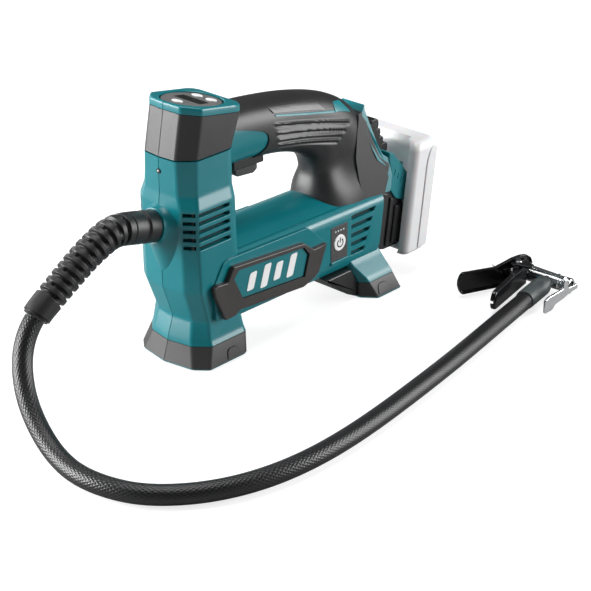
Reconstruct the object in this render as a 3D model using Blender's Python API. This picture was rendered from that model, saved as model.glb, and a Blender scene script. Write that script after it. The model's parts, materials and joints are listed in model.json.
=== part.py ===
"""Cordless tyre inflator: upright head tower with display, motor barrel, closed handle,
battery on a raked rear rail, and an air hose that ends in a clip-on valve chuck.

Sizes are in millimetres in the maker's frame: x runs back from the front ridge of the
foot, y to the left, z up from the floor. One root empty moves the whole machine so that
the origin lies under the middle of its box."""

import math

import bmesh
import bpy
import numpy as np
from mathutils import Matrix, Vector

for old in list(bpy.data.objects):
    bpy.data.objects.remove(old, do_unlink=True)

MM = 0.001

# Driving dimensions
HEIGHT = 178.0
WALL = 2.5
GAP = 0.3
RAKE = 0.131
TOP_SLOPE = 0.17
NECK_Z = 143.5
BEZEL_DEPTH = 5.3
FRONT_FOOT_WIDTH = 64.2
REAR_FOOT_WIDTH = 83.6
REAR_FOOT_X = (159.0, 192.0)
BODY_WIDTH = 55.0
BODY_TOP = 80.5
BODY_BOTTOM = 24.0
BODY_BACK = 183.0
SHOE_WIDTH = 50.0
PACK_WIDTH = 66.0
PACK_X = (208.0, 231.5)
PACK_Z = (15.0, 99.0)
PACK_LIP_X = 204.5
GRIP_WIDTH = 34.0
GRIP_HEIGHT = 41.0
GRIP_SKIN = 2.4
FOOT_Z = 14.5
REAR_FOOT_Z = 12.0
HOSE_D = 12.6
CRANK_Z = 43.0
CRANK_THROW = 7.0
CYLINDER_X = 24.0
BORE_R = 11.0
MOTOR_R = 15.3
MOTOR_X = (86.0, 141.0)
GEAR_R = 12.7
PINION_R = 3.8
MOTOR_Z = CRANK_Z + GEAR_R + PINION_R
GLAND_Z = 99.0
GLAND_TILT = math.radians(13)
GLAND_X = (-27.0, -6.0)
GLAND_R = 10.6
GLAND_LIP = 1.3
BODY_HALF = BODY_WIDTH / 2
SHOE_HALF = SHOE_WIDTH / 2
PACK_HALF = PACK_WIDTH / 2
GLAND_FRONT = GLAND_X[0] - (GLAND_R - GLAND_LIP) * math.sin(GLAND_TILT)
PACK_REAR = PACK_X[1] + RAKE * (PACK_Z[1] - PACK_Z[0])
MACHINE_MID_X = (GLAND_FRONT + PACK_REAR) / 2

root = bpy.data.objects.new("machine", None)
root.location = (-MACHINE_MID_X * MM, 0, 0)
bpy.context.scene.collection.objects.link(root)

TEAL = ((0.0, 0.22, 0.26), 0.45, 0.0)
GREY = ((0.06, 0.06, 0.065), 0.6, 0.0)
BLACK = ((0.015, 0.015, 0.016), 0.6, 0.0)
WHITE = ((0.8, 0.8, 0.8), 0.4, 0.0)
STEEL = ((0.5, 0.5, 0.52), 0.3, 1.0)
CHROME = ((0.75, 0.76, 0.78), 0.12, 1.0)
BRASS = ((0.6, 0.42, 0.18), 0.35, 1.0)
BOARD = ((0.02, 0.12, 0.05), 0.6, 0.0)
GLASS = ((0.05, 0.06, 0.06), 0.1, 0.0)
PACK = ((0.75, 0.76, 0.78), 0.4, 0.0)


def material(name, finish):
    rgb, roughness, metallic = finish
    made = bpy.data.materials.new(name)
    made.use_nodes = True
    shader = made.node_tree.nodes["Principled BSDF"]
    shader.inputs["Base Color"].default_value = (*rgb, 1)
    shader.inputs["Roughness"].default_value = roughness
    shader.inputs["Metallic"].default_value = metallic
    return made


def add(name, mesh, finish, origin=(0, 0, 0)):
    """Links an object whose mesh is given in the maker's frame, with its own origin at origin."""
    mesh.transform(Matrix.Translation(-Vector(origin) * MM))
    mesh.set_sharp_from_angle(angle=math.radians(35))
    obj = bpy.data.objects.new(name, mesh)
    obj.parent = root
    obj.location = Vector(origin) * MM
    bpy.context.scene.collection.objects.link(obj)
    if finish is None:
        obj.hide_render = True
        obj.display_type = "WIRE"
    else:
        mesh.materials.append(material(name, finish))
    return obj


def mesh_of(rings, closed=False):
    """A closed skin through rings of the same number of points, with flat end caps."""
    made = bmesh.new()
    rows = [[made.verts.new(Vector(point) * MM) for point in ring] for ring in rings]
    pairs = list(zip(rows, rows[1:]))
    if closed:
        pairs.append((rows[-1], rows[0]))
    for low, high in pairs:
        for i in range(len(low)):
            j = (i + 1) % len(low)
            made.faces.new((low[i], low[j], high[j], high[i]))
    if not closed:
        made.faces.new(rows[0][::-1])
        made.faces.new(rows[-1])
    bmesh.ops.recalc_face_normals(made, faces=made.faces)
    bmesh.ops.triangulate(made, faces=made.faces)
    mesh = bpy.data.meshes.new("mesh")
    made.to_mesh(mesh)
    made.free()
    mesh.shade_smooth()
    return mesh


def loft(name, rings, finish=None, closed=False, origin=(0, 0, 0)):
    return add(name, mesh_of(rings, closed), finish, origin)


def raked(x, z):
    return x + RAKE * (z - PACK_Z[0])


def slab(name, outline, half, finish=None, origin=(0, 0, 0), low=None):
    """An outline in x and z carried across the machine, from y = low to y = half."""
    low = -half if low is None else low
    rings = [[(x, y, z) for x, z in outline] for y in (low, half)]
    return loft(name, rings, finish, origin=origin)


def box(name, x, y, z, finish=None, origin=(0, 0, 0)):
    return slab(name, [(x[0], z[0]), (x[1], z[0]), (x[1], z[1]), (x[0], z[1])], y[1], finish, origin, y[0])


def turned(name, profile, at, along, finish=None, sides=24, bore=None, origin=None):
    """A profile of (distance along, radius) turned round the axis through at; bore hollows it right through."""
    axis = Vector(along).normalized()
    across = axis.orthogonal().normalized()
    other = axis.cross(across)
    angles = [2 * math.pi * i / sides for i in range(sides)]

    def ring(distance, radius):
        centre = Vector(at) + axis * distance
        return [centre + radius * (across * math.cos(t) + other * math.sin(t)) for t in angles]

    rings = [ring(*step) for step in profile]
    if bore is not None:
        rings += [ring(profile[-1][0], bore), ring(profile[0][0], bore)]
    return loft(name, rings, finish, bore is not None, at if origin is None else origin)


def boolean(obj, other, operation):
    step = obj.modifiers.new(operation.lower(), "BOOLEAN")
    step.operation = operation
    step.object = other
    step.solver = "EXACT"


def cut(obj, *others):
    for other in others:
        boolean(obj, other, "DIFFERENCE")


def fuse(obj, *others):
    for other in others:
        boolean(obj, other, "UNION")


def half_of(name, whole, side, finish):
    """The half of a helper solid on one side of the middle seam."""
    seam = GAP / 2
    reach = 60.0
    y = (seam, reach) if side > 0 else (-reach, -seam)
    part = box(name, (-40, 260), y, (-5, 200), finish)
    boolean(part, whole, "INTERSECT")
    return part


# ---- head tower: an eight-sided column with a shallow front ridge and a waist over the foot
# z, ridge x, front-corner x and y, side-corner x and y, back x, back corner radius
TOWER = [
    (FOOT_Z + GAP, 4.2, 7.6, 18.4, 16.5, 28.6, 50.5, 4.0),
    (18.0, 5.0, 8.2, 17.6, 16.8, 27.2, 50.0, 4.0),
    (31.0, 9.5, 11.5, 15.6, 17.5, 25.0, 49.0, 5.0),
    (54.0, 1.6, 3.6, 17.3, 10.0, 27.2, 48.0, 7.0),
    (111.0, 0.6, 2.2, 17.3, 9.2, 26.6, 46.5, 7.0),
    (119.5, 1.6, 2.9, 14.6, 11.2, 24.2, 46.5, 7.0),
    (NECK_Z, 1.7, 2.9, 13.8, 12.5, 23.3, 47.6, 7.0),
]
TOP_RING = (7.0, 8.3, 13.7, 17.7, 23.3, 55.5, 7.0)


def tower_ring(z, ridge, front, front_y, side, side_y, back, radius, inset=0.0, slope=0.0):
    """The tower's outline at one height, drawn in by inset, and tipped back by slope."""
    lean = 0.55 * inset
    right = [
        (front + inset, front_y - lean),
        (side + lean, side_y - inset),
        (back - radius, side_y - inset),
        (back - inset - 0.3 * radius, side_y - 0.3 * radius - inset * 0.6),
        (back - inset, side_y - radius),
    ]
    points = [(ridge + inset, 0)] + [(x, -y) for x, y in right] + [(x, y) for x, y in right[::-1]]
    return [(x, y, z - slope * (x - ridge)) for x, y in points]


tower = loft("tower_solid", [tower_ring(*row) for row in TOWER])
hollow = [tower_ring(row[0] + (WALL if n == 0 else 0), *row[1:], inset=WALL) for n, row in enumerate(TOWER)]
tower_hollow = loft("tower_hollow", hollow + [tower_ring(NECK_Z + 5, *TOWER[-1][1:], inset=WALL)])


# ---- motor barrel: a rounded section carried back to the raked rear face
def barrel_ring(x, grow=0.0, lean=0.0):
    """The barrel's section at x, grown outwards by grow; lean tips it along the rake."""
    top = BODY_TOP - 0.022 * (x - 45) + grow
    low = BODY_BOTTOM - 0.012 * (x - 45) - grow
    half = BODY_HALF + grow
    right = [
        (0, top), (8, top - 0.9), (14.5, top - 3.6), (half - 8.0, top - 8.2), (half - 5.2, top - 11.0),
        (half - 1.4, top - 14.5), (half, top - 19.0), (half, low + 8.0), (half - 3.5, low + 1.0), (half - 9, low),
    ]
    section = [(-y, z) for y, z in right] + [(y, z) for y, z in right[:0:-1]]
    return [(x + lean * (z - BODY_BOTTOM), y, z) for y, z in section]


def barrel(name, start, end, grow):
    return loft(name, [barrel_ring(start, grow), barrel_ring(120.0, grow), barrel_ring(end, grow, RAKE)])


body = barrel("barrel_solid", 36.0, BODY_BACK, 0.0)
body_hollow = barrel("barrel_hollow", 30.0, BODY_BACK - WALL, -WALL)
body_clear = barrel("barrel_clearance", 36.0, BODY_BACK, GAP)

# ---- handle and rear post: an oval section carried along a bent path
# centre x, centre z, half width, half height, path tilt in degrees
HANDLE = [
    (44.0, 142.0, GRIP_WIDTH / 2 - 1.5, GRIP_HEIGHT / 2, 0.0),
    (62.0, 142.5, GRIP_WIDTH / 2 - 0.5, GRIP_HEIGHT / 2, -1.0),
    (84.0, 141.0, GRIP_WIDTH / 2, GRIP_HEIGHT / 2 - 0.5, -6.0),
    (106.0, 138.0, GRIP_WIDTH / 2, GRIP_HEIGHT / 2 - 0.5, -10.0),
    (128.0, 132.5, GRIP_WIDTH / 2, GRIP_HEIGHT / 2 + 0.5, -18.0),
    (146.0, 124.5, GRIP_WIDTH / 2 + 0.5, GRIP_HEIGHT / 2 + 3.0, -34.0),
    (158.5, 112.0, GRIP_WIDTH / 2 + 1.5, GRIP_HEIGHT / 2 + 6.0, -56.0),
    (163.0, 98.0, GRIP_WIDTH / 2 + 3.0, GRIP_HEIGHT / 2 + 7.0, -74.0),
    (163.0, 84.0, GRIP_WIDTH / 2 + 6.0, GRIP_HEIGHT / 2 + 8.5, -84.0),
    (163.0, 66.5, GRIP_WIDTH / 2 + 7.6, GRIP_HEIGHT / 2 + 9.0, -90.0),
]
HANDLE_SIDES = 16


def handle_ring(x, z, half, high, tilt, grow=0.0):
    """A squared oval, x^p + y^p = 1 with p = 2.5, standing across the path at (x, z)."""
    power = 2 / 2.5
    turn = math.radians(tilt)
    ring = []
    for i in range(HANDLE_SIDES):
        t = 2 * math.pi * i / HANDLE_SIDES
        y = (half + grow) * math.copysign(abs(math.cos(t)) ** power, math.cos(t))
        up = (high + grow) * math.copysign(abs(math.sin(t)) ** power, math.sin(t))
        ring.append((x - up * math.sin(turn), y, z + up * math.cos(turn)))
    return ring


def handle(name, grow):
    return loft(name, [handle_ring(*row, grow=grow) for row in HANDLE])


core = handle("core_solid", -GRIP_SKIN - GAP)
core_clear = handle("core_clearance", -GRIP_SKIN)
core_hollow = handle("core_hollow", -GRIP_SKIN - GAP - WALL)
STUB = [(30, NECK_Z - 28), (30, 152.0), (57.5, 152.0), (85.0, 123.0), (85.0, NECK_Z - 28)]
stub = handle("stub_solid", 0.0)
stub_area = slab("stub_area", STUB, 40)
boolean(stub, stub_area, "INTERSECT")
stub_clear = slab("stub_clearance", [(x + (GAP if x > 40 else 0), z + (GAP if z > 150 else 0)) for x, z in STUB], 45)
tower_clear = loft("tower_clearance", [tower_ring(*row, inset=-GAP) for row in TOWER])
rim = HEIGHT - BEZEL_DEPTH
neck_clear = loft("neck_clearance", [
    tower_ring(NECK_Z, *TOWER[-1][1:], inset=-GAP),
    tower_ring(NECK_Z + GAP, *TOWER[-1][1:], inset=-GAP),
    tower_ring(rim, *TOP_RING, inset=-GAP, slope=TOP_SLOPE),
    tower_ring(HEIGHT + 8, *TOP_RING, inset=-GAP, slope=TOP_SLOPE),
])

# ---- rear foot flare and the shoulder over the battery rail
REAR_FLARE = [
    (REAR_FOOT_Z + GAP, 158.0, 188.5, 31.0, 37.0),
    (15.5, 157.0, 187.0, 30.0, 35.5),
    (25.0, 152.0, 185.5, 23.0, BODY_HALF - 0.5),
]


def foot_ring(z, front, back, inner, outer):
    """A rectangle with its two front corners cut."""
    half = [(front, -inner), (front + (outer - inner) * 0.8, -outer), (back, -outer)]
    return [(x, y, z) for x, y in half] + [(x, -y, z) for x, y in half[::-1]]


flare = loft("rear_flare", [foot_ring(*row) for row in REAR_FLARE])
SHOULDER = [(178, 66), (178, 112), (188, 112), (192, 100), (203, 91), (213.5, 74), (211.5, 57.5), (199, 69.5)]
shoulder = slab("shoulder_solid", SHOULDER, SHOE_HALF)
rear_wall = slab("rear_wall", [(178, 26), (raked(185, 26), 26), (raked(185, 70), 70), (178, 70)], SHOE_HALF - 2)


# ---- cooling slots through the tower's sides and chamfers and the barrel's rear
SLOT_HEIGHT = 2.6


def slots(name, x, width, heights, y, depth, turn=0.0):
    """A row of flat boxes, one for each slot, to cut through a wall; turn swings them about the vertical."""
    comb = []
    for n, z in enumerate(heights):
        half = SLOT_HEIGHT / 2
        tooth = box(f"{name}_{n}", (-width / 2, width / 2), (-depth / 2, depth / 2), (z - half, z + half))
        tooth.location = Vector((x, y, 0)) * MM
        tooth.rotation_euler = (0, 0, turn)
        comb.append(tooth)
    return comb


TOWER_SLOTS = [86.0 + 5.6 * n for n in range(5)]
REAR_SLOTS = [35.0 + 6.6 * n for n in range(5)]
CHAMFER_TURN = math.atan2(TOWER[4][5] - TOWER[4][3], TOWER[4][4] - TOWER[4][2])

# ---- front boss that carries the hose gland
out = Vector((-math.cos(GLAND_TILT), 0, math.sin(GLAND_TILT)))
gland_seat = Vector((GLAND_X[1], 0, GLAND_Z))
# centre x and z, half width, half height, backward lean
BOSS = [
    (GLAND_X[1], GLAND_Z, GLAND_R + 0.6, GLAND_R + 0.6, GLAND_TILT),
    (0.5, 93.5, 12.2, 18.0, 0.0),
    (6.0, 90.0, 13.4, 25.0, 0.0),
]
boss_rings = []
for boss_x, boss_z, half, high, lean in BOSS:
    turns = [2 * math.pi * i / 24 for i in range(24)]
    boss_rings.append([
        (boss_x + high * math.sin(t) * math.sin(lean), half * math.cos(t), boss_z + high * math.sin(t) * math.cos(lean))
        for t in turns
    ])
boss = loft("boss_solid", boss_rings)
SHANK_R = 6.0
shank_hole = turned("shank_hole", [(-20, SHANK_R + GAP), (4, SHANK_R + GAP)], gland_seat, out)

casing = loft("casing", [tower_ring(*row) for row in TOWER])
fuse(casing, body, core, stub, flare, shoulder, rear_wall, boss)
cut(casing, tower_hollow, body_hollow, core_hollow, shank_hole)
for side in (-1, 1):
    cut(casing, *slots(f"tower_slots_{side}", 23.0, 27.0, TOWER_SLOTS, side * 27, 8))
    cut(casing, *slots(f"chamfer_slots_{side}", 5.6, 9.5, TOWER_SLOTS, side * 22, 7, -side * CHAMFER_TURN))
    cut(casing, *slots(f"rear_slots_{side}", 164.5, 22.0, REAR_SLOTS, side * BODY_HALF, 8))

TRIGGER_X = (61.5, 82.5)
TRIGGER_HALF = 7.5
TRIGGER_TRAVEL = 3.5
trigger_slot = box(
    "trigger_slot", (TRIGGER_X[0] - GAP, TRIGGER_X[1] + GAP), (-TRIGGER_HALF - GAP, TRIGGER_HALF + GAP), (108, 131.5)
)
PANEL_X = (132.5, 149.5)
PANEL_Z = (35.0, 60.5)
PANEL_DEPTH = 2.4
panel_y = -BODY_HALF
panel_hole = box(
    "panel_hole", (PANEL_X[0] - GAP, PANEL_X[1] + GAP), (panel_y - 5, panel_y + 6), (PANEL_Z[0] - GAP, PANEL_Z[1] + GAP)
)
cut(casing, neck_clear, trigger_slot, panel_hole)
SCREW_R = 2.5
SCREWS = [(20.0, 132.0, 24.0), (131.0, 34.0, BODY_HALF)]
for n, (screw_x, screw_z, wall_y) in enumerate(SCREWS):
    at = (screw_x, wall_y - 3.0, screw_z)
    cut(casing, turned(f"screw_hole_{n}", [(-3, SCREW_R + GAP), (6, SCREW_R + GAP)], at, (0, 1, 0), sides=10))
    turned(f"housing_screw_{n + 1}", [(-5, 1.3), (0, 1.3), (0.3, SCREW_R), (2.4, SCREW_R)], at, (0, 1, 0), STEEL, 10)
LED_R = 2.3
LED_Z = 134.0
led_at = (TOWER[-1][1] - 0.3, 0, LED_Z)
cut(casing, turned("led_hole", [(-3, LED_R + GAP), (6, LED_R + GAP)], led_at, (1, 0, 0), sides=14))
turned("led_lens", [(0, LED_R - 0.4), (0.4, LED_R), (4.5, LED_R)], led_at, (1, 0, 0), GLASS, 14)
housing_left = half_of("housing_left", casing, 1, TEAL)
housing_right = half_of("housing_right", casing, -1, TEAL)

# ---- soft grip skins over the handle core and the rear post
grip = handle("grip_whole", 0.0)
cut(grip, core_clear, stub_clear, body_clear, tower_clear, neck_clear)
shoulder_room = [(SHOULDER[0][0] - GAP, 60.0), (SHOULDER[0][0] - GAP, SHOULDER[1][1] + GAP)]
shoulder_room += [(x + GAP, z + GAP) for x, z in SHOULDER[2:-2]] + [(SHOULDER[-2][0] + GAP, 60.0)]
shoulder_clear = slab("shoulder_clearance", shoulder_room, SHOE_HALF + GAP)
cut(grip, shoulder_clear)
grip_left = half_of("grip_left", grip, 1, GREY)
grip_right = half_of("grip_right", grip, -1, GREY)

# ---- collar, bezel and display
COLLAR_WALL = 2.2
collar_rings = [
    tower_ring(NECK_Z + GAP, *TOWER[-1][1:]),
    tower_ring(rim, *TOP_RING, slope=TOP_SLOPE),
    tower_ring(rim, *TOP_RING, slope=TOP_SLOPE, inset=COLLAR_WALL),
    tower_ring(NECK_Z + GAP, *TOWER[-1][1:], inset=COLLAR_WALL),
]
collar = loft("collar_band", collar_rings, GREY, closed=True)
DIAL_X = 31.5
DIAL_HALF = (18.0, 17.0)


def top_oval(grow, depth, x=DIAL_X, y=0.0, half=DIAL_HALF, sides=32):
    """An upright oval's edge at a depth below the tipped top face."""
    ring = []
    for i in range(sides):
        t = 2 * math.pi * i / sides
        px = x + (half[0] + grow) * math.cos(t)
        ring.append((px, y + (half[1] + grow) * math.sin(t), HEIGHT - TOP_SLOPE * (px - TOP_RING[0]) - depth))
    return ring


bezel_rings = [
    tower_ring(rim + GAP, *TOP_RING, slope=TOP_SLOPE),
    tower_ring(HEIGHT - 1.2, *TOP_RING, slope=TOP_SLOPE),
    tower_ring(HEIGHT, *TOP_RING, slope=TOP_SLOPE, inset=1.2),
]
bezel = loft("top_bezel", bezel_rings, TEAL)
cut(bezel, loft("dial_hole", [top_oval(0, 9), top_oval(0, -3)]))
DIAL_TOP = 0.9
DIAL_THICK = 3.2
dial = loft("display_plate", [top_oval(-GAP, DIAL_TOP + DIAL_THICK), top_oval(-GAP, DIAL_TOP)], GREY)
LCD_X = (27.0, 35.5)
LCD_HALF = 11.5


def top_patch(x, half, depth, grow=0.0):
    """A rectangle parallel to the tipped top face, at a depth below it."""
    corners = [(x[0] - grow, -half - grow), (x[1] + grow, -half - grow)]
    corners += [(x[1] + grow, half + grow), (x[0] - grow, half + grow)]
    return [(px, py, HEIGHT - TOP_SLOPE * (px - TOP_RING[0]) - depth) for px, py in corners]


cut(dial, loft("lcd_hole", [top_patch(LCD_X, LCD_HALF, 8, GAP), top_patch(LCD_X, LCD_HALF, -2, GAP)]))
loft("lcd_window", [top_patch(LCD_X, LCD_HALF, DIAL_TOP + 2.6), top_patch(LCD_X, LCD_HALF, DIAL_TOP + 0.2)], GLASS)
KEYS = {"mode_button": (19.5, 0.0), "plus_button": (42.5, -6.5), "minus_button": (42.5, 6.5)}
KEY_HALF = (2.6, 3.6)
KEY_TRAVEL = 0.7
for key, (key_x, key_y) in KEYS.items():
    cut(dial, loft(f"{key}_hole", [top_oval(GAP, d, key_x, key_y, KEY_HALF, 16) for d in (8, -2)]))
    origin = (key_x, key_y, top_oval(0, DIAL_TOP, key_x, key_y)[0][2])
    key_rings = [top_oval(0, DIAL_TOP + DIAL_THICK - KEY_TRAVEL, key_x, key_y, KEY_HALF, 16)]
    key_rings += [top_oval(0, DIAL_TOP - 0.7, key_x, key_y, KEY_HALF, 16)]
    loft(key, key_rings, WHITE, origin=origin)
board_depth = BEZEL_DEPTH + GAP
BOARD_X = (14.0, 47.0)
loft("display_board", [top_patch(BOARD_X, 15.0, board_depth + 1.8), top_patch(BOARD_X, 15.0, board_depth)], BOARD)

# ---- side badges: an angular frame round a blank plate, one on each side
FRAME = [
    (17.2, 56.3), (20.8, 57.8), (29.7, 56.8), (35.3, 66.1), (102.3, 60.7), (111.6, 53.2), (125.0, 53.5),
    (116.7, 34.5), (111.7, 31.7), (101.8, 28.5), (40.5, 33.7), (36.3, 30.9), (27.2, 30.7), (18.8, 49.4),
]
PLATE = [(35.1, 57.7), (39.8, 62.5), (101.8, 57.8), (107.0, 51.2), (102.6, 36.0), (43.4, 40.6)]
FRAME_DEPTH = 3.6
PLATE_DEPTH = 2.2
for side, word in ((-1, "right"), (1, "left")):
    inner_y = side * (BODY_HALF + GAP)
    frame = slab(f"badge_frame_{word}", FRAME, inner_y + side * FRAME_DEPTH, GREY, low=inner_y)
    window = [(x + math.copysign(GAP, x - 71), z + math.copysign(GAP, z - 49)) for x, z in PLATE]
    cut(frame, slab(f"badge_window_{word}", window, side * (BODY_HALF + 12), low=side * (BODY_HALF - 8)))
    slab(f"badge_plate_{word}", PLATE, inner_y + side * PLATE_DEPTH, TEAL, low=inner_y)

# ---- power panel and its button
BUTTON_R = 6.0
BUTTON_AT = (141.0, 47.5)
panel = box("power_panel", PANEL_X, (panel_y - 0.3, panel_y + PANEL_DEPTH), PANEL_Z, GREY)
button_profile = [(-3, BUTTON_R + GAP), (8, BUTTON_R + GAP)]
cut(panel, turned("button_hole", button_profile, (BUTTON_AT[0], panel_y, BUTTON_AT[1]), (0, 1, 0)))
turned(
    "power_button", [(-1.0, BUTTON_R - 0.5), (-0.5, BUTTON_R), (PANEL_DEPTH - 0.4, BUTTON_R)],
    (BUTTON_AT[0], panel_y, BUTTON_AT[1]), (0, 1, 0), WHITE, 24,
)
switch_board = (panel_y + PANEL_DEPTH + 1.6, panel_y + PANEL_DEPTH + 3.2)
box("control_board", (PANEL_X[0] + 1, PANEL_X[1] - 1), switch_board, (PANEL_Z[0] + 1, PANEL_Z[1] - 1), BOARD)

# ---- rubber feet
half_front = FRONT_FOOT_WIDTH / 2
front_rings = [
    tower_ring(0, 0.4, 4.1, 22.6, 11.7, half_front - 0.6, 47.2, 4.0),
    tower_ring(1.0, 0.0, 3.7, 23.0, 11.3, half_front, 47.6, 4.0),
    tower_ring(FOOT_Z, *TOWER[0][1:]),
]
loft("front_foot", front_rings, GREY)
rear_half = REAR_FOOT_WIDTH / 2
rear_rings = [
    foot_ring(0, REAR_FOOT_X[0], REAR_FOOT_X[1], 31.5, rear_half),
    foot_ring(REAR_FOOT_Z, REAR_FLARE[0][1], REAR_FLARE[0][2], REAR_FLARE[0][3], REAR_FLARE[0][4]),
]
rear_foot = loft("rear_foot", rear_rings, GREY)
WEDGE = [(124, 22.0), (151.3, 22.0), (157.5, REAR_FOOT_Z - 0.5), (162, REAR_FOOT_Z - 1), (162, 0.6), (158, 0.6), (150, 5.0)]
fuse(rear_foot, slab("belly_wedge", WEDGE, 20))

# ---- trigger with its return spring and switch
pull_rings = [(TRIGGER_X[0], 130.0), (TRIGGER_X[0], 115.0), (63.5, 112.8), (80.5, 111.6), (TRIGGER_X[1], 113.6)]
pull_rings += [(TRIGGER_X[1], 130.0)]
trigger_at = (sum(TRIGGER_X) / 2, 0, 121.0)
slab("trigger", pull_rings[::-1], TRIGGER_HALF, GREY, origin=trigger_at)


def coil(name, at, radius, wire, turns, height, finish, sides=5, axis="z"):
    """A helical spring standing on at."""
    curve = bpy.data.curves.new(name, "CURVE")
    curve.dimensions = "3D"
    curve.bevel_depth = wire / 2 * MM
    curve.bevel_resolution = sides - 4
    curve.use_fill_caps = True
    line = curve.splines.new("POLY")
    steps = int(turns * 12)
    line.points.add(steps)
    for n, point in enumerate(line.points):
        t = 2 * math.pi * n / 12
        point.co = (radius * math.cos(t) * MM, radius * math.sin(t) * MM, height * n / steps * MM, 1)
    spring = bpy.data.objects.new(name, curve)
    spring.parent = root
    spring.location = Vector(at) * MM
    curve.materials.append(material(name, finish))
    bpy.context.scene.collection.objects.link(spring)
    return spring


SPRING_Z = (130.0 + GAP + 0.4, 130.0 + 8.2)
coil("trigger_spring", (trigger_at[0], 0, SPRING_Z[0]), 3.0, 0.7, 5, SPRING_Z[1] - SPRING_Z[0], STEEL)
box("trigger_switch", (62, 84), (-6, 6), (SPRING_Z[1] + 0.4 + GAP, 149), BLACK)

# ---- drive: motor, pinion, gear, crank, rod, piston and cylinder
turned("motor_can", [(0, MOTOR_R), (MOTOR_X[1] - MOTOR_X[0], MOTOR_R)], (MOTOR_X[0], 0, MOTOR_Z), (1, 0, 0), STEEL,
       28, MOTOR_R - 1.6)
BELL_X = (MOTOR_X[1] + GAP, MOTOR_X[1] + 3.5)
SHAFT_R = 1.6
turned("rear_bell", [(0, MOTOR_R), (BELL_X[1] - BELL_X[0], MOTOR_R)], (BELL_X[0], 0, MOTOR_Z), (1, 0, 0), BLACK, 28,
       SHAFT_R + GAP)
core_r = MOTOR_R - 3.0
shaft = [(73.5, SHAFT_R), (90, SHAFT_R), (90, core_r), (137, core_r), (137, SHAFT_R), (153.5, SHAFT_R)]
turned("motor_armature", [(x - 73.5, r) for x, r in shaft], (73.5, 0, MOTOR_Z), (1, 0, 0), BRASS, 16)
GEAR_X = (75.0, 81.0)
PINION_TEETH = 6
GEAR_TEETH = 20


def toothed(name, z, root_r, tip_r, teeth, x, bore, finish):
    """A toothed wheel facing along x, bored right through."""
    outline, hole = [], []
    for i in range(teeth):
        for step, radius in ((0.26, root_r), (0.38, tip_r), (0.62, tip_r), (0.74, root_r)):
            t = 2 * math.pi * (i + step) / teeth
            outline.append((radius * math.cos(t), radius * math.sin(t)))
            hole.append((bore * math.cos(t), bore * math.sin(t)))
    rings = [(x[0], outline), (x[1], outline), (x[1], hole), (x[0], hole)]
    return loft(name, [[(px, a, z + b) for a, b in ring] for px, ring in rings], finish, True, (x[0], 0, z))


TOOTH = (0.9, 0.5)
toothed("pinion", MOTOR_Z, PINION_R - TOOTH[0], PINION_R + TOOTH[1], PINION_TEETH, GEAR_X, SHAFT_R + GAP / 2, STEEL)
toothed("cooling_fan", MOTOR_Z, 5.0, MOTOR_R - 1, 9, (BELL_X[1] + 2, BELL_X[1] + 7), SHAFT_R + GAP / 2, BLACK)
CRANK_R = 3.0
toothed("drive_gear", CRANK_Z, GEAR_R - TOOTH[0], GEAR_R + TOOTH[1], GEAR_TEETH, GEAR_X, CRANK_R + GAP / 2, STEEL)
ROD_X = (22.4, 25.8)
DISC_X = (27.4, 31.0)
crank = turned(
    "crankshaft", [(0, 10.5), (DISC_X[1] - DISC_X[0], 10.5), (DISC_X[1] - DISC_X[0], CRANK_R), (55, CRANK_R)],
    (DISC_X[0], 0, CRANK_Z), (1, 0, 0), STEEL, 20,
)
PIN_R = 2.4
pin_x = ROD_X[1] + GAP
fuse(crank, turned("crank_pin", [(0, PIN_R), (3.0, PIN_R)], (pin_x, 0, CRANK_Z + CRANK_THROW), (1, 0, 0), sides=12))
BEARING_R = 7.5
BLOCK_X = (33.0, 37.5)
turned("crank_bearing", [(0, BEARING_R), (4.5, BEARING_R)], (BLOCK_X[0], 0, CRANK_Z), (1, 0, 0), STEEL, 20,
       CRANK_R + GAP / 2)
block = box("bearing_block", BLOCK_X, (-19, 19), (30, 56), STEEL)
cut(block, turned("block_bore", [(-3, BEARING_R + GAP / 2), (9, BEARING_R + GAP / 2)], (BLOCK_X[0], 0, CRANK_Z), (1, 0, 0)))
PLATE_X = (82.8, 85.7)
gear_plate = box("gear_plate", PLATE_X, (-13, 13), (31, 72), STEEL)
cut(gear_plate, turned("plate_bore", [(-3, SHAFT_R + GAP), (9, SHAFT_R + GAP)], (PLATE_X[0], 0, MOTOR_Z), (1, 0, 0), sides=16))

ROD_LENGTH = 40.0
WRIST_Z = CRANK_Z + CRANK_THROW + ROD_LENGTH
WRIST_R = 2.0
big_z = WRIST_Z - ROD_LENGTH


def rod_outline(x):
    """Two round ends joined by straight sides."""
    points = []
    for centre, radius, start in ((WRIST_Z, 4.2, 0), (big_z, 5.2, math.pi)):
        points += [(x, radius * math.cos(start + math.pi * i / 8), centre + radius * math.sin(start + math.pi * i / 8))
                   for i in range(9)]
    return points


rod = loft("connecting_rod", [rod_outline(x) for x in ROD_X], STEEL, origin=(CYLINDER_X, 0, WRIST_Z))
for eye, eye_z, eye_r in (("big_eye", big_z, PIN_R + GAP), ("small_eye", WRIST_Z, WRIST_R + GAP)):
    cut(rod, turned(eye, [(-3, eye_r), (9, eye_r)], (ROD_X[0], 0, eye_z), (1, 0, 0), sides=16))
PISTON_R = BORE_R - 0.4
PISTON_Z = (WRIST_Z - 7.0, WRIST_Z + 8.0)
RING_Z = (PISTON_Z[1] - 4.5, PISTON_Z[1] - 2.5)
profile = [(0, PISTON_R), (RING_Z[0] - PISTON_Z[0] - GAP / 2, PISTON_R), (RING_Z[0] - PISTON_Z[0] - GAP / 2, PISTON_R - 1.6)]
profile += [(RING_Z[1] - PISTON_Z[0] + GAP / 2, PISTON_R - 1.6), (RING_Z[1] - PISTON_Z[0] + GAP / 2, PISTON_R)]
profile += [(PISTON_Z[1] - PISTON_Z[0], PISTON_R)]
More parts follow.
